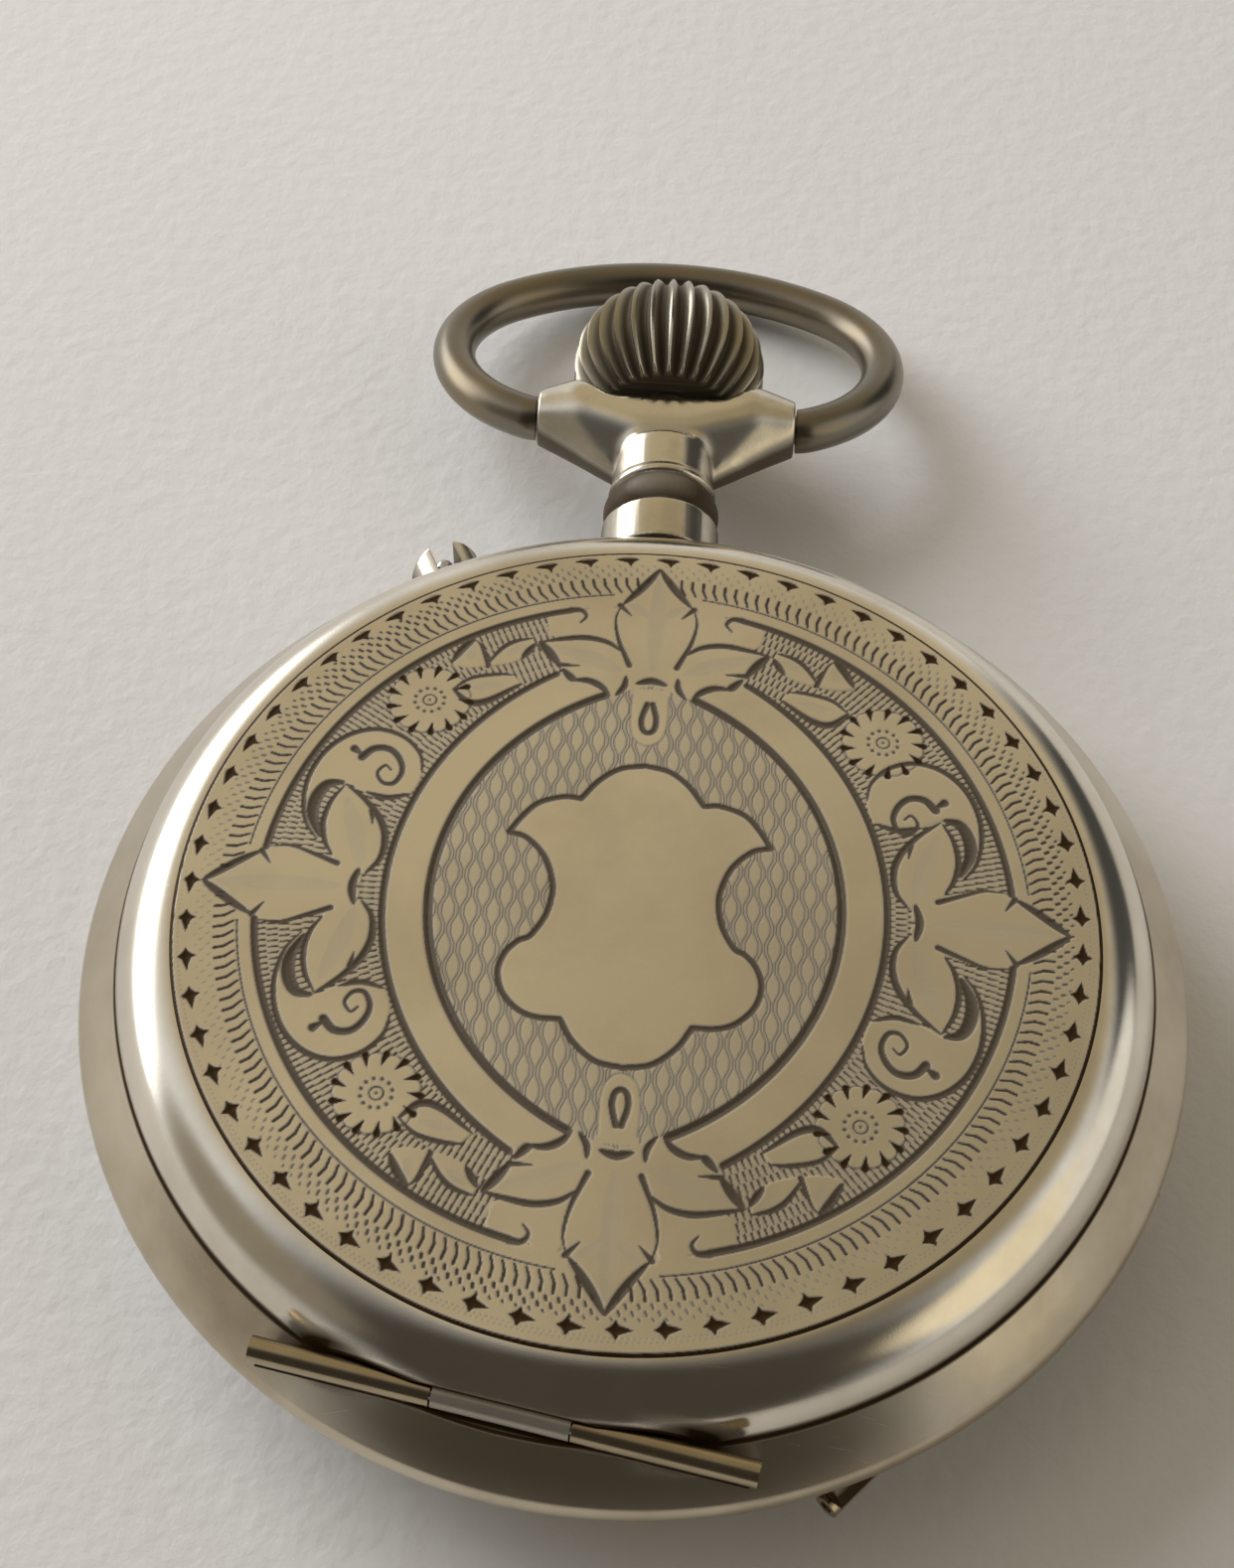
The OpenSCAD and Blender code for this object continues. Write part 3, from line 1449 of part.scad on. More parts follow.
module hairspring() {
    color([0.3, 0.36, 0.5])
    translate([balance_pos[0], balance_pos[1], bridge_top + 0.12])
        linear_extrude(height = 0.14)
            polygon(spiral_points(0.75, 3, 8, 0.08, 192));
}

module regulator() {
    color([0.66, 0.68, 0.7])
    translate([balance_pos[0], balance_pos[1], bridge_low - 0.24])
        rotate([0, 0, -90])
            linear_extrude(height = 0.18)
                difference() {
                    union() {
                        circle(r = 2.1);
                        polygon([[1.5, -0.55], [5.6, -0.16], [5.6, 0.16], [1.5, 0.55]]);
                    }
                    circle(r = 1.36);
                }
}

module jewels() {
    color([0.7, 0.12, 0.2])
    for (p = [[0, 0], third_pos, fourth_pos, escape_pos, balance_pos])
        translate([p[0], p[1], bridge_low])
            difference() {
                cylinder(r = 0.75, h = 0.28, $fn = 32);
                translate([0, 0, -1])
                    cylinder(d = pivot_d + 2 * pivot_play, h = 2, $fn = 32);
            }
}

module bridge_screws() {
    color([0.25, 0.3, 0.45])
    for (p = screw_places())
        translate([p[0], p[1], bridge_low])
            difference() {
                union() {
                    cylinder(r = 0.4, h = plate_low + 0.5 - bridge_low, $fn = 32);
                    cylinder(r = 0.8, h = 0.48, $fn = 32);
                }
                translate([-1, -0.1, -0.2])
                    cube([2, 0.2, 0.4]);
            }
}

module case_screws() {
    color([0.25, 0.3, 0.45])
    for (a = case_screw_az)
        around(a)
            translate([plate_r - 1.1, 0, plate_low])
                difference() {
                    union() {
                        translate([0, 0, -0.45])
                            cylinder(r = 0.4, h = 1.2, $fn = 32);
                        translate([0, 0, -0.5])
                            cylinder(r = 0.62, h = 0.48, $fn = 32);
                    }
                    translate([-1, -0.1, -0.7])
                        cube([2, 0.2, 0.4]);
                }
}

case_band();
pendant();
bow();
crown();
winding_stem();
push_sleeve();
front_cover();
front_hinge_tubes();
front_hinge_pin();
back_cover();
back_hinge_tubes();
back_hinge_pin();
dust_cover();
dust_hinge_tubes();
dust_hinge_pin();
bezel();
crystal();
setting_pin();
setting_guard();
lock_spring();
lift_spring();
dial();
hour_hand();
minute_hand();
seconds_hand();
cannon_pinion();
minute_wheel();
hour_wheel();
main_plate();
barrel_bridge();
train_bridge();
balance_cock();
pallet_cock();
mainspring_barrel();
mainspring();
barrel_arbor();
ratchet_wheel();
crown_wheel();
winding_pinion();
click();
click_spring();
centre_wheel();
third_wheel();
fourth_wheel();
escape_wheel();
pallet_fork();
balance_wheel();
balance_staff();
hairspring();
regulator();
jewels();
bridge_screws();
case_screws();
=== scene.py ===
import json
import math
import bpy
import numpy as np
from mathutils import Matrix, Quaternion, Vector

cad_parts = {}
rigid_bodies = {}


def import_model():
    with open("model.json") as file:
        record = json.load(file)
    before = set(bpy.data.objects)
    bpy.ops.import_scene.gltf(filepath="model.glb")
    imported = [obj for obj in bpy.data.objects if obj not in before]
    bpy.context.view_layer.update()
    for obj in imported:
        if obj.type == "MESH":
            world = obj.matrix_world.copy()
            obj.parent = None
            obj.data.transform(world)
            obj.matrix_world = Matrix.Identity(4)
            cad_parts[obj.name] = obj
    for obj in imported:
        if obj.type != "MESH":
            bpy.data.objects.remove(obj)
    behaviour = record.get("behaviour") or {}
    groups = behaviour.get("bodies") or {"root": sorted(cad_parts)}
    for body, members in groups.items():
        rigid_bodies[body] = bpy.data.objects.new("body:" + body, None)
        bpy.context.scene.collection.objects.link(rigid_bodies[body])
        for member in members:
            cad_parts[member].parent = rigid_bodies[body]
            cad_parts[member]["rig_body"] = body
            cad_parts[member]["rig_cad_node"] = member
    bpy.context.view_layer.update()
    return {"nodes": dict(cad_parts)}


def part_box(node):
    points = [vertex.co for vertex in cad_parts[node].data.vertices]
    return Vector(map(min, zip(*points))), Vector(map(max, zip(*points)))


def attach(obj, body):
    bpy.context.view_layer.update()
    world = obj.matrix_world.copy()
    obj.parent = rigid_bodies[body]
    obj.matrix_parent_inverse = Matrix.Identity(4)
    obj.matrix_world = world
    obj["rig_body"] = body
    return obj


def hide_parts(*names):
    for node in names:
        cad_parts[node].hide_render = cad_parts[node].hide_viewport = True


for leftover in list(bpy.data.objects):  # the start file's own cube, lamp and camera
    bpy.data.objects.remove(leftover)
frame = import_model()
nodes = frame["nodes"]
mm = 0.001


# small helpers

def deselectAll():
    if bpy.context.mode != "OBJECT":
        bpy.ops.object.mode_set(mode="OBJECT")
    bpy.ops.object.select_all(action="DESELECT")


def workOn(piece):
    deselectAll()
    bpy.context.view_layer.objects.active = piece
    piece.select_set(True)


def nameActive(name):
    piece = bpy.context.object
    piece.name = name
    piece.data.name = name
    return piece


def settle(piece):  # place and turn go into the mesh
    workOn(piece)
    bpy.ops.object.transform_apply(location=True, rotation=True, scale=True)
    return piece


def applyModifier(piece, kind, **values):
    workOn(piece)
    modifier = piece.modifiers.new(kind.title(), kind)
    for key, value in values.items():
        setattr(modifier, key, value)
    bpy.ops.object.modifier_apply(modifier=modifier.name)


def editAll():
    bpy.ops.object.mode_set(mode="EDIT")
    bpy.ops.mesh.select_all(action="SELECT")


def leaveEdit():
    bpy.ops.object.mode_set(mode="OBJECT")


def turnOutward(piece):
    workOn(piece)
    editAll()
    bpy.ops.mesh.normals_make_consistent(inside=False)
    leaveEdit()


def meshArray(mesh, key="co"):
    values = np.empty(len(mesh.vertices) * 3)
    mesh.vertices.foreach_get(key, values)
    return values.reshape(-1, 3)


def setPoints(mesh, place):  # mm in, metres in the mesh
    mesh.vertices.foreach_set("co", (place * mm).ravel())
    mesh.update()


def keepPatina(mesh, dark):  # patina, and painted shade where a piece marks it, read by the paints with patina and shade
    patina_and_shade = mesh.attributes.new("patina_and_shade", "FLOAT", "POINT")
    patina_and_shade.data.foreach_set("value", np.clip(dark, 0, 1).astype(np.float32))


def joinPieces(pieces, name):
    deselectAll()
    for piece in pieces:
        piece.select_set(True)
    bpy.context.view_layer.objects.active = pieces[0]
    bpy.ops.object.join()
    return nameActive(name)


def setPaint(piece, material):
    piece.data.materials.clear()
    piece.data.materials.append(material)


def seat(piece, body, material):
    setPaint(piece, material)
    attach(piece, body)
    return piece


# camera, at the photograph's angle

cameraView = dict(
    place=(0.855, -59.748, 110.257),  # mm
    target=(-1.227, 6.496, 12.0),
    roll=1.52,  # degrees
    lens=60.66,  # mm, on a 36 mm long side
)


def makeCamera():
    place = Vector(cameraView["place"]) * mm
    target = Vector(cameraView["target"]) * mm
    bpy.ops.object.camera_add(location=place)
    camera = nameActive("camera")
    camera.rotation_mode = "QUATERNION"
    aim = (target - place).to_track_quat("-Z", "Y")
    camera.rotation_quaternion = aim @ Quaternion((0, 0, 1), math.radians(cameraView["roll"]))
    camera.data.sensor_width = 36
    camera.data.lens = cameraView["lens"]
    camera.data.clip_start = 0.005
    bpy.context.scene.camera = camera


makeCamera()


# shader groups

def addNode(tree, kind, feeds=None, **settings):
    made = tree.nodes.new(kind)
    for key, value in settings.items():
        setattr(made, key, value)
    for key, feed in (feeds or {}).items():
        if isinstance(feed, bpy.types.NodeSocket):
            tree.links.new(feed, made.inputs[key])
        else:
            made.inputs[key].default_value = feed
    return made


def mathNode(tree, operation, first, second=0.0, clamp=False):
    made = addNode(tree, "ShaderNodeMath", {0: first, 1: second}, operation=operation, use_clamp=clamp)
    return made.outputs[0]


def mixColours(tree, share, first, second):
    made = addNode(tree, "ShaderNodeMix", data_type="RGBA")
    for socket, feed in ((made.inputs[0], share), (made.inputs[6], first), (made.inputs[7], second)):
        if isinstance(feed, bpy.types.NodeSocket):
            tree.links.new(feed, socket)
        else:
            socket.default_value = feed
    return made.outputs[2]


def rangeNode(tree, value, low, high, first=0.0, last=1.0):
    feeds = {"Value": value, "From Min": low, "From Max": high, "To Min": first, "To Max": last}
    return addNode(tree, "ShaderNodeMapRange", feeds).outputs[0]


def vectorNode(tree, operation, first, second=(0, 0, 0)):
    made = addNode(tree, "ShaderNodeVectorMath", {0: first, 1: second}, operation=operation)
    return made.outputs["Value" if operation in ("LENGTH", "DOT_PRODUCT", "DISTANCE") else 0]


def objectCoords(tree):
    return addNode(tree, "ShaderNodeTexCoord").outputs["Object"]


def axisDistance(tree, vector):  # the three parts of a vector, and its distance from the upright axis
    split = addNode(tree, "ShaderNodeSeparateXYZ", {0: vector}).outputs
    flat = addNode(tree, "ShaderNodeCombineXYZ", {"X": split[0], "Y": split[1]}).outputs[0]
    return split, vectorNode(tree, "LENGTH", flat)


def noiseNode(tree, vector, scale, detail=3.0, rough=0.55, distortion=0.0):
    feeds = {"Vector": vector, "Scale": scale, "Detail": detail, "Roughness": rough,
             "Distortion": distortion}
    return addNode(tree, "ShaderNodeTexNoise", feeds).outputs[0]


def newGroup(name, inputs, outputs):
    tree = bpy.data.node_groups.new(name, "ShaderNodeTree")
    for label, value in inputs:
        kind = "NodeSocketVector" if isinstance(value, tuple) else "NodeSocketFloat"
        tree.interface.new_socket(label, in_out="INPUT", socket_type=kind).default_value = value
    for label in outputs:
        tree.interface.new_socket(label, in_out="OUTPUT", socket_type="NodeSocketFloat")
    return tree, tree.nodes.new("NodeGroupInput"), tree.nodes.new("NodeGroupOutput")


def makeHandling():  # stains, fine scratches and small knocks of handled metal
    tree, given, result = newGroup(
        "handledMetal", [("Stain Scale", 90.0), ("Scratch Scale", 260.0)],
        ["Stain", "Scratch", "Height"])
    coords = objectCoords(tree)
    broad = noiseNode(tree, coords, given.outputs["Stain Scale"], 6.0, 0.62)
    stain = rangeNode(tree, broad, 0.42, 0.72)
    scratch = None
    for turn, stretch in ((25, 70), (-48, 90), (78, 60)):
        feeds = {"Vector": coords, "Rotation": (0.2, 0.1, math.radians(turn)), "Scale": (1, stretch, 1)}
        mapped = addNode(tree, "ShaderNodeMapping", feeds).outputs[0]
        lines = rangeNode(tree, noiseNode(tree, mapped, given.outputs["Scratch Scale"], 2.0), 0.71, 0.78)
        scratch = lines if scratch is None else mathNode(tree, "MAXIMUM", scratch, lines)
    fine = noiseNode(tree, coords, 9000.0, 2.0)
    dents = rangeNode(tree, noiseNode(tree, coords, 420.0, 1.0), 0.3, 0.75)
    height = mathNode(tree, "MULTIPLY", fine, 0.25)
    height = mathNode(tree, "SUBTRACT", height, mathNode(tree, "MULTIPLY", scratch, 0.2))
    height = mathNode(tree, "ADD", height, mathNode(tree, "MULTIPLY", dents, 0.35))
    tree.links.new(stain, result.inputs["Stain"])
    tree.links.new(scratch, result.inputs["Scratch"])
    tree.links.new(height, result.inputs["Height"])
    return tree


def makeFrosting():  # fine even grain of a frosted gilt surface
    tree, given, result = newGroup("frostedGilt", [("Grain Scale", 14000.0)], ["Grain", "Height"])
    coords = objectCoords(tree)
    grain = noiseNode(tree, coords, given.outputs["Grain Scale"], 3.0, 0.7)
    broad = rangeNode(tree, noiseNode(tree, coords, 160.0, 4.0), 0.35, 0.7)
    tree.links.new(broad, result.inputs["Grain"])
    tree.links.new(grain, result.inputs["Height"])
    return tree


def makeSnailing():  # curved rays of a snailed winding wheel
    tree, given, result = newGroup(
        "snailing", [("Centre", (0.0, 0.0, 0.0)), ("Rays", 70.0), ("Curl", 700.0)], ["Ray"])
    away = vectorNode(tree, "SUBTRACT", objectCoords(tree), given.outputs["Centre"])
    split, reach = axisDistance(tree, away)
    angle = mathNode(tree, "ARCTAN2", split[1], split[0])
    rays = mathNode(tree, "MULTIPLY", angle, given.outputs["Rays"])
    curl = mathNode(tree, "MULTIPLY", given.outputs["Curl"], 40.0)
    wave = mathNode(tree, "SINE", mathNode(tree, "ADD", rays, mathNode(tree, "MULTIPLY", reach, curl)))
    tree.links.new(rangeNode(tree, wave, -1.0, 1.0), result.inputs["Ray"])
    return tree


def makeGraining():  # overlapping spots ground on the plate under the dial
    tree, given, result = newGroup("spotGraining", [("Spots", 900.0)], ["Spot", "Height"])
    feeds = {"Vector": objectCoords(tree), "Scale": given.outputs["Spots"], "Randomness": 0.15}
    cell = addNode(tree, "ShaderNodeTexVoronoi", feeds, feature="F1").outputs["Distance"]
    rings = mathNode(tree, "SINE", mathNode(tree, "MULTIPLY", cell, 42.0))
    tree.links.new(rangeNode(tree, cell, 0.0, 0.7), result.inputs["Spot"])
    tree.links.new(rangeNode(tree, rings, -1.0, 1.0), result.inputs["Height"])
    return tree


caseSeams = dict(
    rim=23.02, seat=2.65, middle=6.0,  # mm, where a cover meets the band
    hinges=[(-101, 9.15), (-43, 2.85)],  # degrees round the case, mm up
    reach=22.3, tube=0.55, half=10.5,  # mm, of a hinge
)


def makeSeamDirt():  # dark dirt lines where the covers meet the band; painted shade in the gaps round the hinge tubes and in the hollows at their ends; the middle tube is darkened to the other tubes' tone
    tree, given, result = newGroup("seamDirt", [("Width", 0.00008)], ["Dirt"])
    coords = objectCoords(tree)
    split, reach = axisDistance(tree, coords)

    def offset(value, place):  # how far from a place, in metres
        return mathNode(tree, "ABSOLUTE", mathNode(tree, "SUBTRACT", value, place * mm))

    def fading(value, low, high, most=1.0):  # most up to low, nothing from high, in mm
        return rangeNode(tree, value, low * mm, high * mm, most, 0.0)

    away = mathNode(tree, "DIVIDE", offset(reach, caseSeams["rim"]), given.outputs["Width"])
    level = offset(offset(split[2], caseSeams["middle"]), caseSeams["seat"])
    dirtAndShade = mathNode(tree, "MULTIPLY", rangeNode(tree, away, 0.6, 1.6, 1.0, 0.0), fading(level, 0.3, 0.5))
    wide = caseSeams["tube"]
    for turn, height in caseSeams["hinges"]:
        turn = math.radians(turn)
        out = caseSeams["reach"] * mm
        middle = (out * math.cos(turn), out * math.sin(turn), height * mm)
        way = (-math.sin(turn), math.cos(turn), 0.0)
        off = vectorNode(tree, "SUBTRACT", coords, middle)
        along = vectorNode(tree, "DOT_PRODUCT", off, way)
        feeds = {0: way, "Scale": along}
        foot = addNode(tree, "ShaderNodeVectorMath", feeds, operation="SCALE").outputs[0]
        across = vectorNode(tree, "DISTANCE", off, foot)
        length = mathNode(tree, "ABSOLUTE", along)
        # painted shade in the gap round each hinge tube
        outer = fading(across, wide + 0.2, wide + 0.4)
        inner = rangeNode(tree, across, (wide + 0.03) * mm, (wide + 0.07) * mm)
        hollow = mathNode(tree, "MULTIPLY", rangeNode(tree, length, 0.005, 0.0075),
                          fading(across, wide + 0.5, wide + 1.1))
        outer = mathNode(tree, "MAXIMUM", outer, hollow)  # painted shade in the hollows at the tube ends
        tube = fading(across, wide + 0.01, wide + 0.03, 0.5)
        ring = mathNode(tree, "ADD", mathNode(tree, "MULTIPLY", outer, inner), tube)
        ends = fading(length, caseSeams["half"] + 0.2, caseSeams["half"] + 0.5)
        dirtAndShade = mathNode(tree, "MAXIMUM", dirtAndShade, mathNode(tree, "MULTIPLY", ring, ends))
    tree.links.new(dirtAndShade, result.inputs["Dirt"])
    return tree


handledMetal = makeHandling()
seamDirt = makeSeamDirt()
frostedGilt = makeFrosting()
snailing = makeSnailing()
spotGraining = makeGraining()
print("shader groups made")


# materials, one for each finish

def startMaterial(name):
    material = bpy.data.materials.new(name)
    material.use_nodes = True
    tree = material.node_tree
    return material, tree, tree.nodes["Principled BSDF"]


def useGroup(tree, group, **values):
    made = addNode(tree, "ShaderNodeGroup", node_tree=group)
    for label, value in values.items():
        made.inputs[label.replace("_", " ")].default_value = value
    return made


def bumpFrom(tree, shader, height, strength, distance):
    feeds = {"Height": height, "Strength": strength, "Distance": distance}
    tree.links.new(addNode(tree, "ShaderNodeBump", feeds).outputs[0], shader.inputs["Normal"])


def linear(red, green, blue):  # from 0-255 screen colours
    def channel(value):
        value /= 255
        return value / 12.92 if value <= 0.04045 else ((value + 0.055) / 1.055) ** 2.4
    return (channel(red), channel(green), channel(blue), 1.0)


silverTone = linear(236, 230, 217)
tarnishTone = linear(150, 134, 108)
# dark colour of patina and dirt, also used for painted shade
patinaAndShadeTone = linear(56, 40, 20)


def silverPaint(name, rough, tarnish, withPatinaAndShade=False, tone=silverTone, stainScale=90.0, bump=0.12,
                seamsAndShade=False):
    material, tree, shader = startMaterial(name)
    worn = useGroup(tree, handledMetal, Stain_Scale=stainScale)
    stain = mathNode(tree, "MULTIPLY", worn.outputs["Stain"], tarnish)
    colour = mixColours(tree, stain, tone, tarnishTone)
    roughness = mathNode(tree, "ADD", mathNode(tree, "MULTIPLY", worn.outputs["Stain"], 0.08), rough)
    roughness = mathNode(tree, "ADD", roughness, mathNode(tree, "MULTIPLY", worn.outputs["Scratch"], 0.08))
    shader.inputs["Metallic"].default_value = 1.0
    if withPatinaAndShade or seamsAndShade:  # old polish and dirt, which is no metal, and painted shade in the same dark colour
        if seamsAndShade:
            keptDirtAndShade = useGroup(tree, seamDirt).outputs["Dirt"]
        else:
            keptDirtAndShade = addNode(tree, "ShaderNodeAttribute", attribute_name="patina_and_shade").outputs["Fac"]
        colour = mixColours(tree, keptDirtAndShade, colour, patinaAndShadeTone)
        roughness = mathNode(tree, "ADD", roughness, mathNode(tree, "MULTIPLY", keptDirtAndShade, 0.3))
        tree.links.new(rangeNode(tree, keptDirtAndShade, 0.0, 1.0, 1.0, 0.15), shader.inputs["Metallic"])
        shader.inputs["Specular IOR Level"].default_value = 0.1
    tree.links.new(colour, shader.inputs["Base Color"])
    tree.links.new(roughness, shader.inputs["Roughness"])
    bumpFrom(tree, shader, worn.outputs["Height"], bump, 0.00004)
    return material


def steelPaint(name, tone, rough, centre=None):
    material, tree, shader = startMaterial(name)
    worn = useGroup(tree, handledMetal, Stain_Scale=300.0, Scratch_Scale=500.0)
    shade = mathNode(tree, "MULTIPLY", worn.outputs["Stain"], 0.25)
    colour = mixColours(tree, shade, tone, tuple(0.6 * c for c in tone[:3]) + (1.0,))
    roughness = mathNode(tree, "ADD", mathNode(tree, "MULTIPLY", worn.outputs["Scratch"], 0.1), rough)
    height = worn.outputs["Height"]
    if centre is not None:
        rays = useGroup(tree, snailing)
        rays.inputs["Centre"].default_value = centre
        shine = mathNode(tree, "MULTIPLY", rays.outputs["Ray"], 0.3)
        colour = mixColours(tree, shine, colour, (0.2, 0.2, 0.21, 1))
        height = mathNode(tree, "ADD", height, rays.outputs["Ray"])
    tree.links.new(colour, shader.inputs["Base Color"])
    tree.links.new(roughness, shader.inputs["Roughness"])
    shader.inputs["Metallic"].default_value = 1.0
    bumpFrom(tree, shader, height, 0.15, 0.00003)
    return material


def giltPaint(name, tone, deep, rough, spots=False):
    material, tree, shader = startMaterial(name)
    frost = useGroup(tree, frostedGilt)
    colour = mixColours(tree, frost.outputs["Grain"], tone, deep)
    height = frost.outputs["Height"]
    if spots:
        ground = useGroup(tree, spotGraining)
        colour = mixColours(tree, mathNode(tree, "MULTIPLY", ground.outputs["Spot"], 0.5), colour, deep)
        height = ground.outputs["Height"]
    tree.links.new(colour, shader.inputs["Base Color"])
    roughness = mathNode(tree, "ADD", mathNode(tree, "MULTIPLY", frost.outputs["Grain"], 0.1), rough)
    tree.links.new(roughness, shader.inputs["Roughness"])
    shader.inputs["Metallic"].default_value = 1.0
    bumpFrom(tree, shader, height, 0.3, 0.00002)
    return material


def enamelPaint():
    material, tree, shader = startMaterial("whiteEnamel")
    coords = objectCoords(tree)
    cloud = rangeNode(tree, noiseNode(tree, coords, 120.0, 4.0), 0.3, 0.75)
    colour = mixColours(tree, cloud, linear(246, 244, 236), linear(236, 232, 220))
    tree.links.new(colour, shader.inputs["Base Color"])
    peel = noiseNode(tree, coords, 700.0, 2.0)
    tree.links.new(rangeNode(tree, peel, 0.3, 0.7, 0.12, 0.2), shader.inputs["Roughness"])
    shader.inputs["Coat Weight"].default_value = 0.6
    bumpFrom(tree, shader, peel, 0.05, 0.0001)
    return material


def inkPaint():  # fired black of the dial print
    material, tree, shader = startMaterial("dialBlack")
    speck = rangeNode(tree, noiseNode(tree, objectCoords(tree), 2500.0, 2.0), 0.3, 0.8)
    colour = mixColours(tree, speck, linear(16, 16, 18), linear(34, 33, 34))
    tree.links.new(colour, shader.inputs["Base Color"])
    tree.links.new(rangeNode(tree, speck, 0.0, 1.0, 0.28, 0.42), shader.inputs["Roughness"])
    return material


def glassPaint():
    material, tree, shader = startMaterial("watchGlass")
    smear = rangeNode(tree, noiseNode(tree, objectCoords(tree), 160.0, 4.0), 0.45, 0.8)
    tree.links.new(rangeNode(tree, smear, 0.0, 1.0, 0.01, 0.06), shader.inputs["Roughness"])
    shader.inputs["Base Color"].default_value = (1, 1, 1, 1)
    shader.inputs["Transmission Weight"].default_value = 1.0
    shader.inputs["IOR"].default_value = 1.5
    return material


def rubyPaint():
    material, tree, shader = startMaterial("ruby")
    cloud = rangeNode(tree, noiseNode(tree, objectCoords(tree), 3000.0, 2.0), 0.3, 0.7)
    colour = mixColours(tree, cloud, linear(168, 20, 52), linear(214, 54, 92))
    tree.links.new(colour, shader.inputs["Base Color"])
    shader.inputs["Roughness"].default_value = 0.08
    shader.inputs["Coat Weight"].default_value = 0.5
    return material


paints = dict(
    silver=silverPaint("polishedSilver", 0.14, 0.35),
    engraved=silverPaint("engravedSilver", 0.17, 0.30, withPatinaAndShade=True, bump=0.2),
    worn_silver=silverPaint("wornSilver", 0.28, 0.7, tone=linear(126, 121, 110), stainScale=160.0, bump=0.3),
    fluted=silverPaint("flutedSilver", 0.22, 0.5, withPatinaAndShade=True, tone=linear(172, 167, 152), stainScale=160.0),
    case=silverPaint("caseSilver", 0.13, 0.35, seamsAndShade=True),
    band=silverPaint("bandSilver", 0.18, 0.6, tone=linear(204, 194, 174), seamsAndShade=True),
    tubes=silverPaint("hingeSilver", 0.2, 0.6, tone=linear(178, 165, 140), stainScale=200.0),
    cast=silverPaint("castSilver", 0.16, 0.5, withPatinaAndShade=True, tone=linear(226, 220, 206), stainScale=160.0),
    steel=steelPaint("steel", (0.56, 0.57, 0.58, 1), 0.2),
    blued_steel=steelPaint("bluedSteel", (0.03, 0.05, 0.2, 1), 0.18),
    gilt_brass=giltPaint("frostedGilt", linear(226, 196, 128), linear(186, 150, 84), 0.36),
    grained=giltPaint("grainedGilt", linear(226, 196, 128), linear(186, 150, 84), 0.28, spots=True),
    brass=giltPaint("wheelBrass", linear(222, 184, 104), linear(180, 140, 66), 0.22),
    enamel=enamelPaint(),
    ink=inkPaint(),
    glass=glassPaint(),
    ruby=rubyPaint(),
)
print("materials:", len(paints))


# every CAD node takes the finish of its slot

def paintNodes():
    for node in nodes.values():
        slot = node.material_slots[0].name.split(".")[0]
        setPaint(node, paints[slot])
    setPaint(nodes["main_plate"], paints["grained"])
    for name in ("front_hinge_tubes", "back_hinge_tubes"):
        setPaint(nodes[name], paints["tubes"])
    for name in ("ratchet_wheel", "crown_wheel"):
        low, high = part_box(name)
        middle = tuple((low + high) / 2)
        setPaint(nodes[name], steelPaint(name + "Steel", (0.6, 0.6, 0.61, 1), 0.22, middle))


paintNodes()


# case pieces whose turned curves need one smooth surface: a merged copy of the CAD mesh

smoothed = dict(
    pieces=("front_cover", "case_band", "back_cover", "bezel", "dust_cover", "push_sleeve"),
    cast=dict(pendant=0.082, setting_guard=0.06),  # mm, cells of the pieces with soft cast edges
    seamed=("front_cover", "case_band", "back_cover"),
    ring=(26.07, 28.03),  # mm along Y, the ring under the neck, whose sides get painted shade
    headFrom=30.2, headHalf=6.3,  # mm along Y, and half its width
    sideShadeBelow=0.72,  # a side that faces up less than this gets painted shade
    merge=0.000002,
    angle=34,  # edges sharper than this stay sharp
)


def roundHead(piece):  # the head is softer than the collar, apart from its two ends
    place = meshArray(piece.data) / mm
    weight = np.clip((place[:, 1] - smoothed["headFrom"]) / 0.4, 0, 1)
    weight *= np.clip((smoothed["headHalf"] - np.abs(place[:, 0])) / 0.8, 0, 1)
    group = piece.vertex_groups.new(name="head")
    for level in np.linspace(0.1, 1, 10):
        near = np.flatnonzero(np.abs(weight - level) <= 0.05)
        group.add(near.tolist(), float(level), "REPLACE")
    applyModifier(piece, "SMOOTH", factor=0.5, iterations=90, vertex_group="head")


def keepDirt(piece):  # old polish stays where the surface is hollow; painted shade darkens the sides that face up less, and the ring under the neck
    mesh = piece.data
    place = meshArray(mesh)
    ends = np.empty(len(mesh.edges) * 2, int)
    mesh.edges.foreach_get("vertices", ends)
    first = np.concatenate([ends[0::2], ends[1::2]])
    second = np.concatenate([ends[1::2], ends[0::2]])
    count = np.bincount(first, minlength=len(place))[:, None]
    soft = place
    for turn in range(60):
        total = [np.bincount(first, weights=soft[second, k], minlength=len(place)) for k in range(3)]
        soft = np.column_stack(total) / count
    way = meshArray(mesh, "normal")
    hollow = ((soft - place) * way).sum(axis=1) / mm
    dark = np.clip((hollow - 0.02) / 0.12, 0, 1) * 0.95
    # painted shade: the less a side faces up, the darker
    dark = np.maximum(dark, np.clip((smoothed["sideShadeBelow"] - way[:, 2]) / 0.5, 0, 1) * 0.85)
    # painted shade on the sides of the ring under the neck
    low, high = smoothed["ring"]
    along = place[:, 1] / mm
    ring = np.clip((along - low) / 0.1, 0, 1) * np.clip((high - along) / 0.1, 0, 1)
    keepPatina(mesh, np.maximum(dark, ring * np.clip(1.7 - way[:, 2], 0, 0.95)))


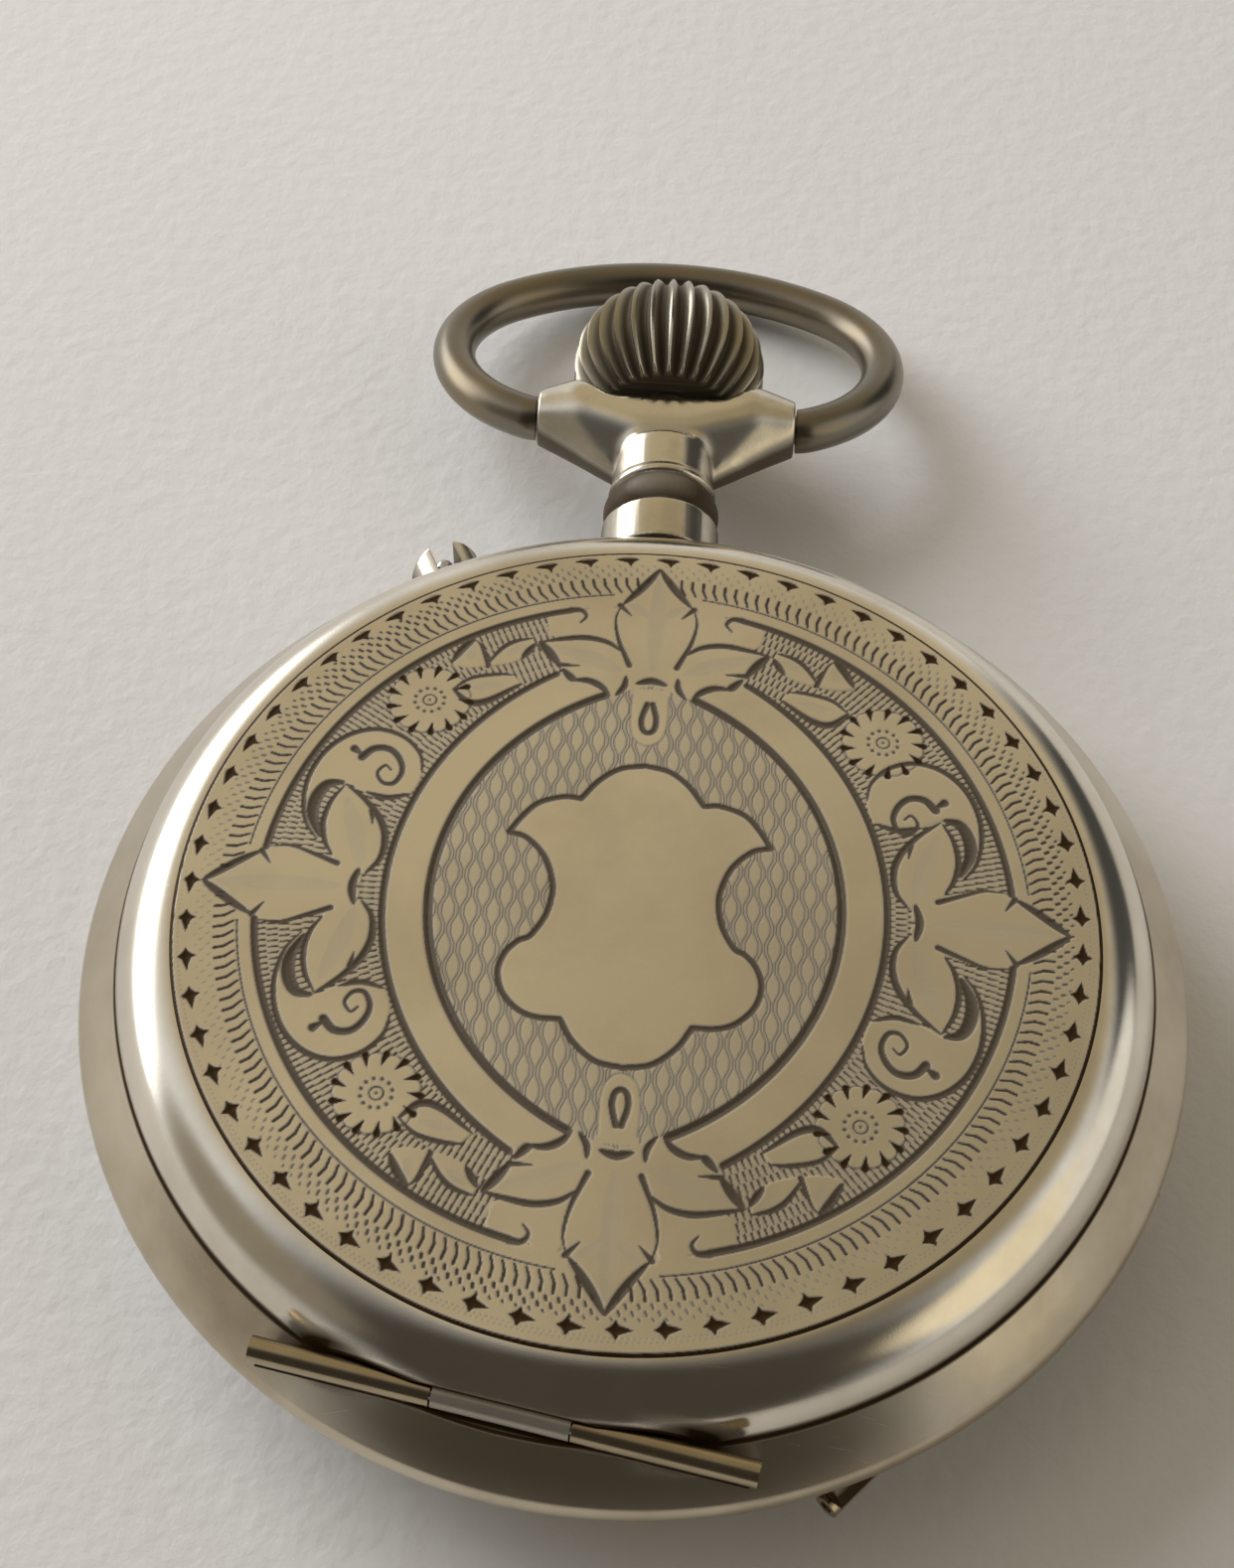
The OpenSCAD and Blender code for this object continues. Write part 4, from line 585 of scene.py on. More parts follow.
def smoothCopy(name):
    node = nodes[name]
    copy = node.copy()
    copy.data = node.data.copy()
    bpy.context.scene.collection.objects.link(copy)
    copy.parent = None
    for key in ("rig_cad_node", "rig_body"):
        del copy[key]
    copy.name = name + "_finish"
    workOn(copy)
    bpy.ops.mesh.customdata_custom_splitnormals_clear()
    editAll()
    bpy.ops.mesh.remove_doubles(threshold=smoothed["merge"])
    leaveEdit()
    if name in smoothed["cast"]:
        applyModifier(copy, "REMESH", mode="VOXEL", voxel_size=smoothed["cast"][name] * mm)
        applyModifier(copy, "SMOOTH", factor=0.5, iterations=3)
        if name == "pendant":
            roundHead(copy)
        keepDirt(copy)
        setPaint(copy, paints["cast"])
    if name in smoothed["seamed"]:
        setPaint(copy, paints["band" if name == "case_band" else "case"])
    workOn(copy)
    bpy.ops.object.shade_smooth_by_angle(angle=math.radians(smoothed["angle"]))
    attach(copy, node["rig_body"])
    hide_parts(name)
    return copy


for name in smoothed["pieces"] + tuple(smoothed["cast"]):
    piece = smoothCopy(name)
print("smoothed:", len(smoothed["pieces"]) + len(smoothed["cast"]), "case pieces")


# ornament of the front cover: every cut is drawn on one field, which then shapes five thin plates

engraving = dict(
    cell=0.025,  # mm, of the field
    reach=20.6,  # mm, half the field's side
    step=0.06,  # mm, between the points of a plate
    lift=0.10,  # mm, plain silver above the turned cover
    least=0.012,  # mm, left under the deepest cut
    slope=0.36,  # flank of a graver's cut
    turn=-0.85,  # degrees, on the cover
    shift=(-0.1, 0.3),  # mm, the engraver's middle from the cover's
    rim=20.3,  # mm, edge of the engraved disc
    domeLow=11.4, domeRise=0.6,  # mm, as the cover is turned
    ground=0.022,  # mm, matted ground below the leaves
    split=16.92, end=20.0,  # mm, between leaves and border plates, and where the ornament stops
)

cellCount = int(2 * engraving["reach"] / engraving["cell"]) + 1
fieldAxis = np.linspace(-engraving["reach"], engraving["reach"], cellCount)
fieldX, fieldY = np.meshgrid(fieldAxis, fieldAxis)
fieldR = np.hypot(fieldX, fieldY)
cutDepth = np.zeros_like(fieldX)
cutDark = np.zeros_like(fieldX)
edgeDepth = np.zeros_like(fieldX)  # keeps to the cover's own middle
edgeDark = np.zeros_like(fieldX)
leafMask = np.zeros(fieldX.shape, bool)


def almondAt(x, y, shift, around):
    return (np.hypot(x + shift, y) < around) & (np.hypot(x - shift, y) < around)


def spotAt(radius, turn):
    return radius * np.array([math.cos(turn), math.sin(turn)])


def sinkField(deep, dark):  # the deeper and the darker of two drawings stays
    np.maximum(cutDepth, deep, out=cutDepth)
    np.maximum(cutDark, dark, out=cutDark)


def window(lowX, lowY, highX, highY):
    low = [max(0, int((v + engraving["reach"]) / engraving["cell"])) for v in (lowX, lowY)]
    high = [min(cellCount, int((v + engraving["reach"]) / engraving["cell"]) + 2) for v in (highX, highY)]
    return slice(low[1], high[1]), slice(low[0], high[0])


def cutLine(start, end, widthA, widthB, slope, dark, layer=None):
    half = max(widthA, widthB) / 2
    part = window(min(start[0], end[0]) - half, min(start[1], end[1]) - half,
                  max(start[0], end[0]) + half, max(start[1], end[1]) + half)
    gridX = fieldX[part] - start[0]
    gridY = fieldY[part] - start[1]
    runX = end[0] - start[0]
    runY = end[1] - start[1]
    along = np.clip((gridX * runX + gridY * runY) / max(runX * runX + runY * runY, 1e-9), 0, 1)
    gap = np.hypot(gridX - along * runX, gridY - along * runY)
    flank = np.maximum((widthA + (widthB - widthA) * along) / 2, 1e-6)
    deep = np.clip(flank - gap, 0, None)
    if layer is None:
        layer = (cutDepth, cutDark)
    layer[0][part] = np.maximum(layer[0][part], slope * deep)
    layer[1][part] = np.maximum(layer[1][part], dark * np.clip(deep / (0.22 * flank), 0, 1))


def curveThrough(points, pieces=10):
    points = np.asarray(points, float)
    if len(points) < 3:
        return np.linspace(points[0], points[-1], pieces)
    padded = np.vstack([2 * points[0] - points[1], points, 2 * points[-1] - points[-2]])
    made = []
    for a, b, c, d in zip(padded, padded[1:], padded[2:], padded[3:]):
        for t in np.linspace(0, 1, pieces, endpoint=False):
            made.append(0.5 * (2 * b + (c - a) * t + (2 * a - 5 * b + 4 * c - d) * t * t
                               + (3 * b - a - 3 * c + d) * t ** 3))
    made.append(points[-1])
    return np.array(made)


def swelling(t, form):
    if form == "both":
        return 0.3 + 0.7 * math.sin(math.pi * t) ** 0.7
    if form == "start":  # thick where it starts
        return 1.0 - 0.7 * t
    if form == "end":
        return 0.3 + 0.7 * t
    return 1.0


def cutCurve(points, width, form="both", slope=None, dark=0.9):
    line = curveThrough(points)
    count = len(line) - 1
    slope = engraving["slope"] if slope is None else slope
    for i in range(count):
        cutLine(line[i], line[i + 1], width * swelling(i / count, form),
                width * swelling((i + 1) / count, form), slope, dark)


def arcPoints(centre, radius, first, last, count=40):
    angles = np.radians(np.linspace(first, last, count))
    return np.column_stack([centre[0] + radius * np.cos(angles), centre[1] + radius * np.sin(angles)])


def fillShape(points, smooth=True, mask=leafMask):
    line = curveThrough(points, 6) if smooth else np.asarray(points, float)
    part = window(line[:, 0].min(), line[:, 1].min(), line[:, 0].max(), line[:, 1].max())
    gridX = fieldX[part]
    gridY = fieldY[part]
    inside = np.zeros(gridX.shape, bool)
    for (x0, y0), (x1, y1) in zip(line, np.roll(line, -1, axis=0)):
        if y0 != y1:
            crossing = ((y0 > gridY) != (y1 > gridY)) & (gridX < (x1 - x0) * (gridY - y0) / (y1 - y0) + x0)
            inside ^= crossing
    mask[part] |= inside


quarters = [(1, 1), (-1, 1), (-1, -1), (1, -1)]


def mirrored(points, sign):
    return np.asarray(points, float) * np.array(sign, float)


# one quarter of the foliage, mirrored to the other three: points in mm from the middle of the cover
foliage = dict(
    strokes=[
        # north and south leaf
        ([(0, 18.95), (0.45, 18.2), (1.0, 17.4), (1.6, 16.65)], 0.30, "both"),
        ([(1.75, 16.55), (1.2, 15.95)], 0.22, "start"),
        ([(1.75, 16.4), (1.9, 15.8), (1.85, 15.1), (1.65, 14.3), (1.35, 13.55), (1.1, 12.95)], 0.22, "end"),
        ([(1.5, 13.75), (2.2, 14.25), (3.2, 14.45), (4.3, 14.3), (5.3, 14.05)], 0.24, "both"),
        ([(5.35, 14.05), (4.85, 13.45), (4.3, 12.7)], 0.34, "both"),
        ([(4.35, 12.75), (3.4, 12.75)], 0.22, "start"),
        ([(4.15, 12.5), (3.75, 12.05), (3.55, 11.9)], 0.30, "both"),
        ([(3.65, 11.9), (2.9, 11.9), (2.3, 11.6), (1.9, 11.1)], 0.28, "both"),
        ([(1.2, 12.3), (1.25, 11.7), (1.6, 11.15)], 0.24, "both"),
        ([(-0.7, 11.9), (0, 12.1), (0.7, 11.9)], 0.30, "both"),
        # ring line with its hook
        ([(3.55, 15.35), (3.3, 15.75), (3.55, 16.1), (4.05, 16.08)], 0.26, "end"),
        # east and west leaf
        ([(19.0, 0), (18.4, 0.45), (17.5, 1.1), (16.6, 1.65)], 0.30, "both"),
        ([(16.6, 1.65), (16.15, 1.0)], 0.22, "start"),
        ([(16.3, 1.9), (15.3, 1.95), (14.3, 1.6), (13.2, 1.15)], 0.22, "end"),
        ([(12.25, 0.9), (12.4, 0), (12.2, -0.9)], 0.28, "both"),
        ([(11.9, 0.7), (11.35, 1.5), (11.25, 2.6), (11.6, 3.6), (12.3, 4.5), (13.3, 5.35)], 0.26, "both"),
        ([(13.4, 5.3), (13.9, 4.4), (14.1, 3.3), (13.9, 2.3), (13.5, 1.6)], 0.22, "both"),
        ([(11.9, 3.3), (12.0, 4.0)], 0.22, "end"),
        ([(13.5, 5.5), (14.2, 5.3), (14.6, 4.5), (14.6, 3.6), (14.2, 2.6)], 0.44, "both"),
        ([(14.3, 2.4), (14.9, 3.3), (15.15, 4.6), (15.0, 6.0), (14.4, 7.3), (13.4, 8.2), (12.2, 8.5),
          (11.0, 8.1), (10.2, 7.2), (10.0, 6.2)], 0.22, "both"),
        ([(10.4, 5.0), (11.4, 4.75), (12.4, 5.0)], 0.22, "both"),
        # sprig
        ([(5.7, 14.25), (6.5, 14.0), (7.1, 13.5), (7.7, 12.5)], 0.20, "both"),
        ([(8.4, 14.0), (8.9, 13.4), (9.3, 12.6)], 0.30, "both"),
        ([(8.4, 14.0), (8.1, 13.7), (7.8, 13.0), (7.6, 12.5)], 0.20, "end"),
        ([(6.4, 12.0), (7.1, 12.0), (8.3, 11.7), (9.1, 11.0)], 0.18, "both"),
        ([(6.0, 11.5), (7.4, 10.45), (8.3, 10.3), (9.1, 11.0)], 0.28, "both"),
        ([(5.55, 13.9), (6.1, 13.0)], 0.26, "both"),
    ],
    veins=[  # broad and shallow, with painted shade: they only darken the leaves
        ([(0, 18.3), (0, 15.5), (0, 12.8)], 0.9),
        ([(0, 15.6), (0.8, 16.3), (1.3, 16.6)], 0.5),
        ([(1.5, 12.6), (2.8, 13.2), (4.6, 13.8)], 0.9),
        ([(18.3, 0), (15.5, 0), (13.0, 0)], 0.9),
        ([(12.2, 1.2), (12.6, 2.8), (13.2, 4.6)], 0.9),
        ([(6.0, 13.8), (6.8, 13.2)], 0.5),
        ([(8.4, 13.6), (8.5, 12.8)], 0.5),
        ([(6.8, 11.4), (8.2, 11.1)], 0.5),
    ],
    shapes=[  # plain silver, left standing above the ground
        [(0, 18.95), (0.45, 18.2), (1.0, 17.4), (1.7, 16.6), (1.9, 15.8), (1.85, 15.1), (1.65, 14.3),
         (1.35, 13.55), (1.1, 12.95), (0.9, 12.0), (0, 11.8), (-0.2, 15)],
        [(1.1, 12.95), (1.5, 13.75), (2.2, 14.25), (3.2, 14.45), (4.3, 14.3), (5.35, 14.05), (4.85, 13.45),
         (4.3, 12.7), (3.55, 11.9), (2.9, 11.9), (2.3, 11.6), (1.9, 11.1), (1.4, 11.2), (1.2, 12.3)],
        [(1.9, 15.2), (1.5, 13.9), (2.2, 14.3), (3.2, 14.45), (4.3, 14.3), (4.9, 14.6), (5.0, 15.6),
         (4.4, 16.1), (3.4, 16.1), (2.4, 16.7), (1.9, 16.2)],
        [(19.0, 0), (18.4, 0.45), (17.5, 1.1), (16.6, 1.65), (16.3, 1.9), (15.3, 1.95), (14.3, 1.6),
         (13.2, 1.15), (12.25, 0.9), (12.3, 0), (15, -0.2)],
        [(11.9, 0.7), (11.35, 1.5), (11.25, 2.6), (11.6, 3.6), (12.3, 4.5), (13.3, 5.35), (13.9, 4.4),
         (14.1, 3.3), (13.9, 2.3), (13.5, 1.6), (13.2, 1.15), (12.3, 0.9)],
        [(14.3, 2.4), (14.9, 3.3), (15.15, 4.6), (15.0, 6.0), (14.4, 7.3), (13.4, 8.2), (12.2, 8.5),
         (11.0, 8.1), (10.2, 7.2), (10.0, 6.2), (10.4, 5.0), (11.4, 4.75), (12.4, 5.0), (13.4, 5.5),
         (14.2, 5.3), (14.6, 4.5), (14.6, 3.6), (14.2, 2.6)],
        [(5.7, 14.25), (6.5, 14.0), (7.1, 13.5), (7.7, 12.5), (6.9, 12.6), (6.1, 13.0), (5.55, 13.9)],
        [(8.4, 14.0), (8.9, 13.4), (9.3, 12.6), (8.6, 12.3), (7.6, 12.5), (7.8, 13.0), (8.1, 13.7)],
        [(6.4, 12.0), (7.1, 12.0), (8.3, 11.7), (9.1, 11.0), (8.3, 10.3), (7.4, 10.45), (6.0, 11.5)],
    ],
    spiral=[(1.1, 0.6), (0.6, 1.1), (-0.1, 1.1), (-0.6, 0.6), (-0.8, -0.1), (-0.5, -0.75), (0, -0.75),
            (0.3, -0.25), (0, 0.2), (-0.3, -0.05)],
    teardrop=[(1.1, 0.75), (1.5, 1.05)],
    spiralCentres=[(12.0, 5.4), (-11.7, 6.3), (-11.7, -6.0), (11.6, -6.3)],
    rosetteCentres=[(10.7, 9.5), (-10.1, 10.3), (-10.15, -9.95), (10.0, -10.0)],
    rosette=1.85,
    petals=13,
    ring=16.55,  # thick line round the foliage
    ringOut=17.3,  # thin line outside it
    heavy=1.65,  # times the width of each stroke
    veinSlope=0.012, veinPaintedShade=0.12,
)

# almond frame round the plain cartouche
shield = dict(
    innerShift=3.38, innerRound=12.38,
    outerShift=3.58, outerRound=14.58,
    cartouche=[(0, 7.25), (1.1, 7.0), (2.0, 6.3), (2.75, 5.25)],
    ear=[(2.75, 5.25), (3.5, 5.3), (4.6, 4.9), (5.3, 4.1), (5.8, 3.25)],
    side=[(5.8, 3.25), (5.0, 3.0), (4.15, 2.1), (3.7, 0.9), (3.65, 0.0), (3.85, -1.0), (4.4, -2.0),
          (4.9, -2.3), (5.4, -2.9), (5.65, -3.8), (5.4, -4.8), (4.7, -5.6), (3.9, -5.95), (2.8, -6.0)],
    foot=[(2.8, -6.0), (2.2, -7.0), (1.2, -7.85), (0, -8.1)],
    bud=[(-0.85, 9.6), (-0.6, 8.7), (0, 8.35), (0.6, 8.7), (0.85, 9.6)],  # one at each end
    budCore=[(-0.12, 10.75), (-0.33, 9.9), (-0.26, 9.3), (0, 9.1), (0.26, 9.3), (0.33, 9.9), (0.12, 10.75)],
    weave=0.49, wave=1.89, swing=0.11, pair=0.075, line=0.115,  # wavy lines of the engine-turned ground
    weaveDark=(0.12, 0.72),  # between the lines, and more in them
)

borderRows = dict(
    strokes=218,
    stroke=(17.45, 18.3, 0.19, 0.014),  # mm from, to, width, radians of slant
    ovals=[(18.47, 18.62, 0.2, 0.5), (18.76, 18.92, 0.19, 0.0), (19.05, 19.14, 0.14, 0.5)],  # staggered rows
    stars=63, starRing=19.52, starSize=(0.42, 0.7), starWidth=0.6,
    dots=520, dotRings=(19.86, 20.03), dotSize=0.1,
    edgeLine=20.24,
)


def drawFoliage():
    for sign in quarters:
        for points, width, form in foliage["strokes"]:
            cutCurve(mirrored(points, sign), foliage["heavy"] * width, form)
        # veins: shallow cuts with painted shade on the leaves
        for points, width in foliage["veins"]:
            cutCurve(mirrored(points, sign), width, "both", foliage["veinSlope"], foliage["veinPaintedShade"])
        for points in foliage["shapes"]:
            fillShape(mirrored(points, sign))
        first = math.degrees(math.acos(4.05 / foliage["ring"]))
        for radius, width, start in ((foliage["ring"], 0.42, first), (foliage["ringOut"], 0.12, 83)):
            arc = arcPoints((0, 0), radius, start, 6.5)
            cutCurve(mirrored(arc, sign), width, "even")
    for sign, centre in zip(quarters, foliage["spiralCentres"]):
        spiral = np.array(foliage["spiral"]) * np.array(sign) + np.array(centre)
        cutCurve(spiral, 0.50, "start")
        drop = np.array(foliage["teardrop"]) * np.array(sign) + np.array(centre)
        cutCurve(drop, 0.5, "end")
    for centre in foliage["rosetteCentres"]:
        drawRosette(np.array(centre))


def drawRosette(centre):
    outer = foliage["rosette"]
    fillShape(arcPoints(centre, outer, 0, 352, 45), smooth=False)
    count = foliage["petals"]
    for k in range(count):
        turn = 2 * math.pi * k / count
        rim = centre + spotAt(outer, turn)
        inner = centre + spotAt(0.70 * outer, turn + 0.08)
        cutLine(rim, inner, 0.42, 0.06, engraving["slope"], 1.0)
        middle = turn + math.pi / count
        facing = math.degrees(middle)
        petal = arcPoints(centre + spotAt(0.80 * outer, middle), 0.22 * outer, facing - 80, facing + 80, 8)
        cutCurve(petal, 0.12, "even", dark=0.7)
    for k in range(12):
        turn = 2 * math.pi * (k + 0.5) / 12
        spot = centre + spotAt(0.68, turn)
        cutLine(spot, spot + 0.001, 0.24, 0.24, 0.4, 0.85)
    cutCurve(arcPoints(centre, 0.30, 0, 360, 20), 0.12, "even")
    cutLine(centre, centre + 0.001, 0.2, 0.2, 0.4, 0.8)


def budLine(root):  # the bud's outline, up to where it meets the frame
    return [(-0.85, root)] + shield["bud"] + [(0.85, root)]


def drawShield():
    for side in (1, -1):
        for shift, around, height, width in (
                (shield["innerShift"], shield["innerRound"], 11.1, 0.52),
                (shield["outerShift"], shield["outerRound"], 12.2, 0.42)):
            reach = math.degrees(math.asin(height / around))
            arc = arcPoints((-shift, 0), around, -reach, reach, 70)
            cutCurve(mirrored(arc, (side, 1)), width, "even")
        for part in ("cartouche", "ear", "side", "foot"):
            cutCurve(mirrored(shield[part], (side, 1)), 0.36, "even")
    for end in (1, -1):
        cutCurve(mirrored(budLine(11.2), (1, end)), 0.13, "even", dark=0.5)
        cutCurve(mirrored(shield["budCore"], (1, end)), 0.36, "even")


def drawWeave():  # engine turning round the cartouche
    plain = np.zeros(fieldX.shape, bool)
    outline = []
    for part in ("cartouche", "ear", "side", "foot"):
        outline.extend(curveThrough(shield[part]))
    outline = np.array(outline)
    fillShape(np.vstack([outline, mirrored(outline[::-1], (-1, 1))]), False, plain)
    for end in (1, -1):
        fillShape(mirrored(budLine(11.6), (1, end)), False, plain)
    ground = almondAt(fieldX, fieldY, shield["innerShift"], shield["innerRound"] - 0.1) & ~plain
    deep = np.zeros_like(fieldX)
    count = int(9.2 / shield["weave"])
    phase = 2 * math.pi / shield["wave"]
    bulge = np.clip(1.25 * np.cos(phase * fieldY), -1, 1)  # flattened, so that the cells are almonds
    for k in range(-count, count + 1):
        wave = shield["swing"] * (1 if k % 2 else -1)
        steep = np.where(np.abs(bulge) < 1, 1.25 * wave * phase * np.sin(phase * fieldY), 0)
        away = fieldX - k * shield["weave"] - wave * bulge
        gap = np.abs(np.abs(away) - shield["pair"]) / np.sqrt(1 + steep ** 2)  # each line is cut twice
        deep = np.maximum(deep, np.clip(shield["line"] / 2 - gap, 0, None))
    deep *= ground
    between, more = shield["weaveDark"]
    sinkField(0.22 * deep, ground * (between + more * np.clip(deep / (0.35 * shield["line"]), 0, 1)))


def drawGround():  # short radial strokes behind the foliage
    zone = ~almondAt(fieldX, fieldY, shield["outerShift"], shield["outerRound"])
    zone &= (fieldR < foliage["ring"]) & ~leafMask
    layer = (np.zeros_like(fieldX), np.zeros_like(fieldX))
    for row, radius in enumerate(np.arange(10.9, 16.5, 0.52)):
        count = int(2 * math.pi * radius / 0.29)
        for k in range(count):
            turn = 2 * math.pi * (k + 0.5 * (row % 2)) / count
            cutLine(spotAt(radius, turn), spotAt(radius + 0.42, turn), 0.16, 0.09, 0.3, 0.85, layer)
    sinkField(zone * (engraving["ground"] + layer[0]), zone * (0.12 + layer[1] * 0.95))


def drawBorder():
    count = borderRows["strokes"]
    layer = (np.zeros_like(fieldX), np.zeros_like(fieldX))
    first, last, width, slant = borderRows["stroke"]
    for k in range(count):
        turn = 2 * math.pi * k / count
        worn = 0.75 + 0.25 * math.sin(turn * 3 + 1.0)  # the border is worn unevenly
        bend = spotAt((first + last) / 2, turn + slant * 0.9)
        cutLine(spotAt(first, turn), bend, width * 0.8, width, 0.3, 0.95, layer)
        cutLine(bend, spotAt(last, turn + slant), width, width, 0.3, 0.95, layer)
        for low, high, wide, shift in borderRows["ovals"]:
            away = turn + slant + shift * 2 * math.pi / count
            cutLine(spotAt(low, away), spotAt(high, away + 0.2 * slant), wide * worn, wide * worn, 0.3,
                    0.95 * worn, layer)
    clear = ~leafMask
    sinkField(clear * layer[0], clear * layer[1])
    for k in range(borderRows["stars"]):  # four-pointed punch marks
        turn = 2 * math.pi * (k + 0.5) / borderRows["stars"]
        middle = spotAt(borderRows["starRing"], turn)
        for arm in range(4):
            reach = borderRows["starSize"][arm == 1]  # one arm is drawn out
            tip = middle + spotAt(reach, turn + arm * math.pi / 2)
            cutLine(middle, tip, borderRows["starWidth"], 0.06, 0.25, 1.0)
    for radius in borderRows["dotRings"]:
        for k in range(borderRows["dots"]):
            spot = spotAt(radius, 2 * math.pi * (k + radius % 0.5) / borderRows["dots"])
            cutLine(spot, spot + 0.001, borderRows["dotSize"], borderRows["dotSize"], 0.4, 0.55)


def drawEdge():  # a deep line round the whole disc
    gap = np.abs(fieldR - borderRows["edgeLine"])
    deep = np.clip(0.13 - gap, 0, None)
    np.maximum(edgeDepth, engraving["slope"] * deep, out=edgeDepth)
    np.maximum(edgeDark, np.clip(deep / 0.03, 0, 1), out=edgeDark)


drawFoliage()
drawShield()
drawWeave()
drawGround()
drawBorder()
drawEdge()
print("ornament drawn: deepest cut", round(float(cutDepth.max()), 3), "mm")


def fieldAt(layer, x, y):  # between the four cells around a point
    column = np.clip((x + engraving["reach"]) / engraving["cell"], 0, cellCount - 2)
    row = np.clip((y + engraving["reach"]) / engraving["cell"], 0, cellCount - 2)
    i = row.astype(int)
    j = column.astype(int)
    u = column - j
    v = row - i
    return ((layer[i, j] * (1 - u) + layer[i, j + 1] * u) * (1 - v)
            + (layer[i + 1, j] * (1 - u) + layer[i + 1, j + 1] * u) * v)


def ornamentPlace(x, y):  # from the cover to the drawn field
    turn = math.radians(engraving["turn"])
    awayX = x - engraving["shift"][0]
    awayY = y - engraving["shift"][1]
    return (awayX * math.cos(turn) + awayY * math.sin(turn), -awayX * math.sin(turn) + awayY * math.cos(turn))


def shieldZone(x, y):
    return almondAt(*ornamentPlace(x, y), shield["innerShift"], shield["innerRound"])


def foliageZone(x, y):
    return (np.hypot(*ornamentPlace(x, y)) < engraving["split"]) & ~shieldZone(x, y)


def edgeZone(x, y):
    return (np.hypot(*ornamentPlace(x, y)) >= engraving["split"]) & (np.hypot(x, y) < engraving["rim"])


coverPlates = dict(
    cover_shield=(shieldZone, (-9.6, -12.6, 9.6, 12.6)),
    cover_foliage_east=(lambda x, y: foliageZone(x, y) & (x > 0), (0, -17.4, 17.4, 17.4)),
    cover_foliage_west=(lambda x, y: foliageZone(x, y) & (x < 0), (-17.4, -17.4, 0, 17.4)),
    cover_edge_north=(lambda x, y: edgeZone(x, y) & (y > 0), (-20.4, 0, 20.4, 20.4)),
    cover_edge_south=(lambda x, y: edgeZone(x, y) & (y < 0), (-20.4, -20.4, 20.4, 0)),
)


def domeHeight(r):
    return engraving["domeLow"] + engraving["domeRise"] * (1 - (r / engraving["rim"]) ** 2)


def makePlate(name, zone, limits):
    step = engraving["step"]
    lowX, lowY, highX, highY = [round(v / step) for v in limits]  # all plates share one lattice
    deselectAll()
    bpy.ops.mesh.primitive_grid_add(x_subdivisions=highX - lowX, y_subdivisions=highY - lowY, size=1)
    piece = nameActive(name)
    piece.scale = ((highX - lowX) * step, (highY - lowY) * step, 1)
    piece.location = ((highX + lowX) * step / 2, (highY + lowY) * step / 2, 0)
    settle(piece)
    mesh = piece.data
    centres = np.empty(len(mesh.polygons) * 3)
    mesh.polygons.foreach_get("center", centres)
    centres = centres.reshape(-1, 3)
    outside = ~zone(centres[:, 0], centres[:, 1])
    mesh.polygons.foreach_set("select", outside)
    mesh.update()
    bpy.ops.object.mode_set(mode="EDIT")
    bpy.ops.mesh.select_mode(type="FACE")
    bpy.ops.object.mode_set(mode="OBJECT")
    mesh.polygons.foreach_set("select", outside)
    bpy.ops.object.mode_set(mode="EDIT")
    bpy.ops.mesh.delete(type="FACE")
    bpy.ops.mesh.select_all(action="SELECT")
    bpy.ops.mesh.region_to_loop()
    bpy.ops.mesh.extrude_region_move()  # the skirt, let into the cover
    bpy.ops.mesh.edge_face_add()
    bpy.ops.mesh.select_mode(type="VERT")
    bpy.ops.object.mode_set(mode="OBJECT")
    low = np.zeros(len(mesh.vertices), bool)
    mesh.vertices.foreach_get("select", low)
    place = meshArray(mesh)
    reach = np.hypot(place[:, 0], place[:, 1])
    over = reach > engraving["rim"] - 0.06
    place[over, :2] *= (engraving["rim"] / reach[over])[:, None]  # a true circle at the rim
    reach = np.hypot(place[:, 0], place[:, 1])
    x, y = ornamentPlace(place[:, 0], place[:, 1])
    inside = np.clip((engraving["end"] - reach) / 0.1, 0, 1)
    deep = np.maximum(fieldAt(cutDepth, x, y) * inside, fieldAt(edgeDepth, place[:, 0], place[:, 1]))
    dark = np.maximum(fieldAt(cutDark, x, y) * inside, fieldAt(edgeDark, place[:, 0], place[:, 1]))
    lift = np.maximum(engraving["lift"] - deep, engraving["least"])
    ramp = np.clip((engraving["rim"] - reach) / 0.12, 0, 1)
    lift = engraving["least"] + (lift - engraving["least"]) * ramp
    place[:, 2] = domeHeight(reach) + np.where(low, -0.06, lift)
    setPoints(mesh, place)
    # patina of the cuts, with the painted shade of the leaf veins
    keepPatina(mesh, dark)
    turnOutward(piece)
    bpy.ops.object.shade_smooth_by_angle(angle=math.radians(75))
    return seat(piece, "front_cover", paints["engraved"])


for name, (zone, limits) in coverPlates.items():
    plate = makePlate(name, zone, limits)
    print("engraved", name, len(plate.data.polygons), "faces")


# fluted crown: rings are pulled up one by one, then the flutes are pressed in

crownForm = dict(
    foot=34.1, height=7.3, radius=5.05, footRadius=3.434,  # mm, along +Y from the pendant
    axisZ=6.0,
    flutes=30, pointsEach=12, rings=36,
    depth=0.6,
    widest=0.4,  # share of the height
)


def crownRadius(t):
    full = crownForm["radius"]
    foot = crownForm["footRadius"]
    widest = crownForm["widest"]
    if t < widest:
        return foot + (full - foot) * math.sin(math.pi / 2 * t / widest) ** 0.85
    return full * math.sqrt(1 - 0.93 * ((t - widest) / (1 - widest)) ** 2.4)


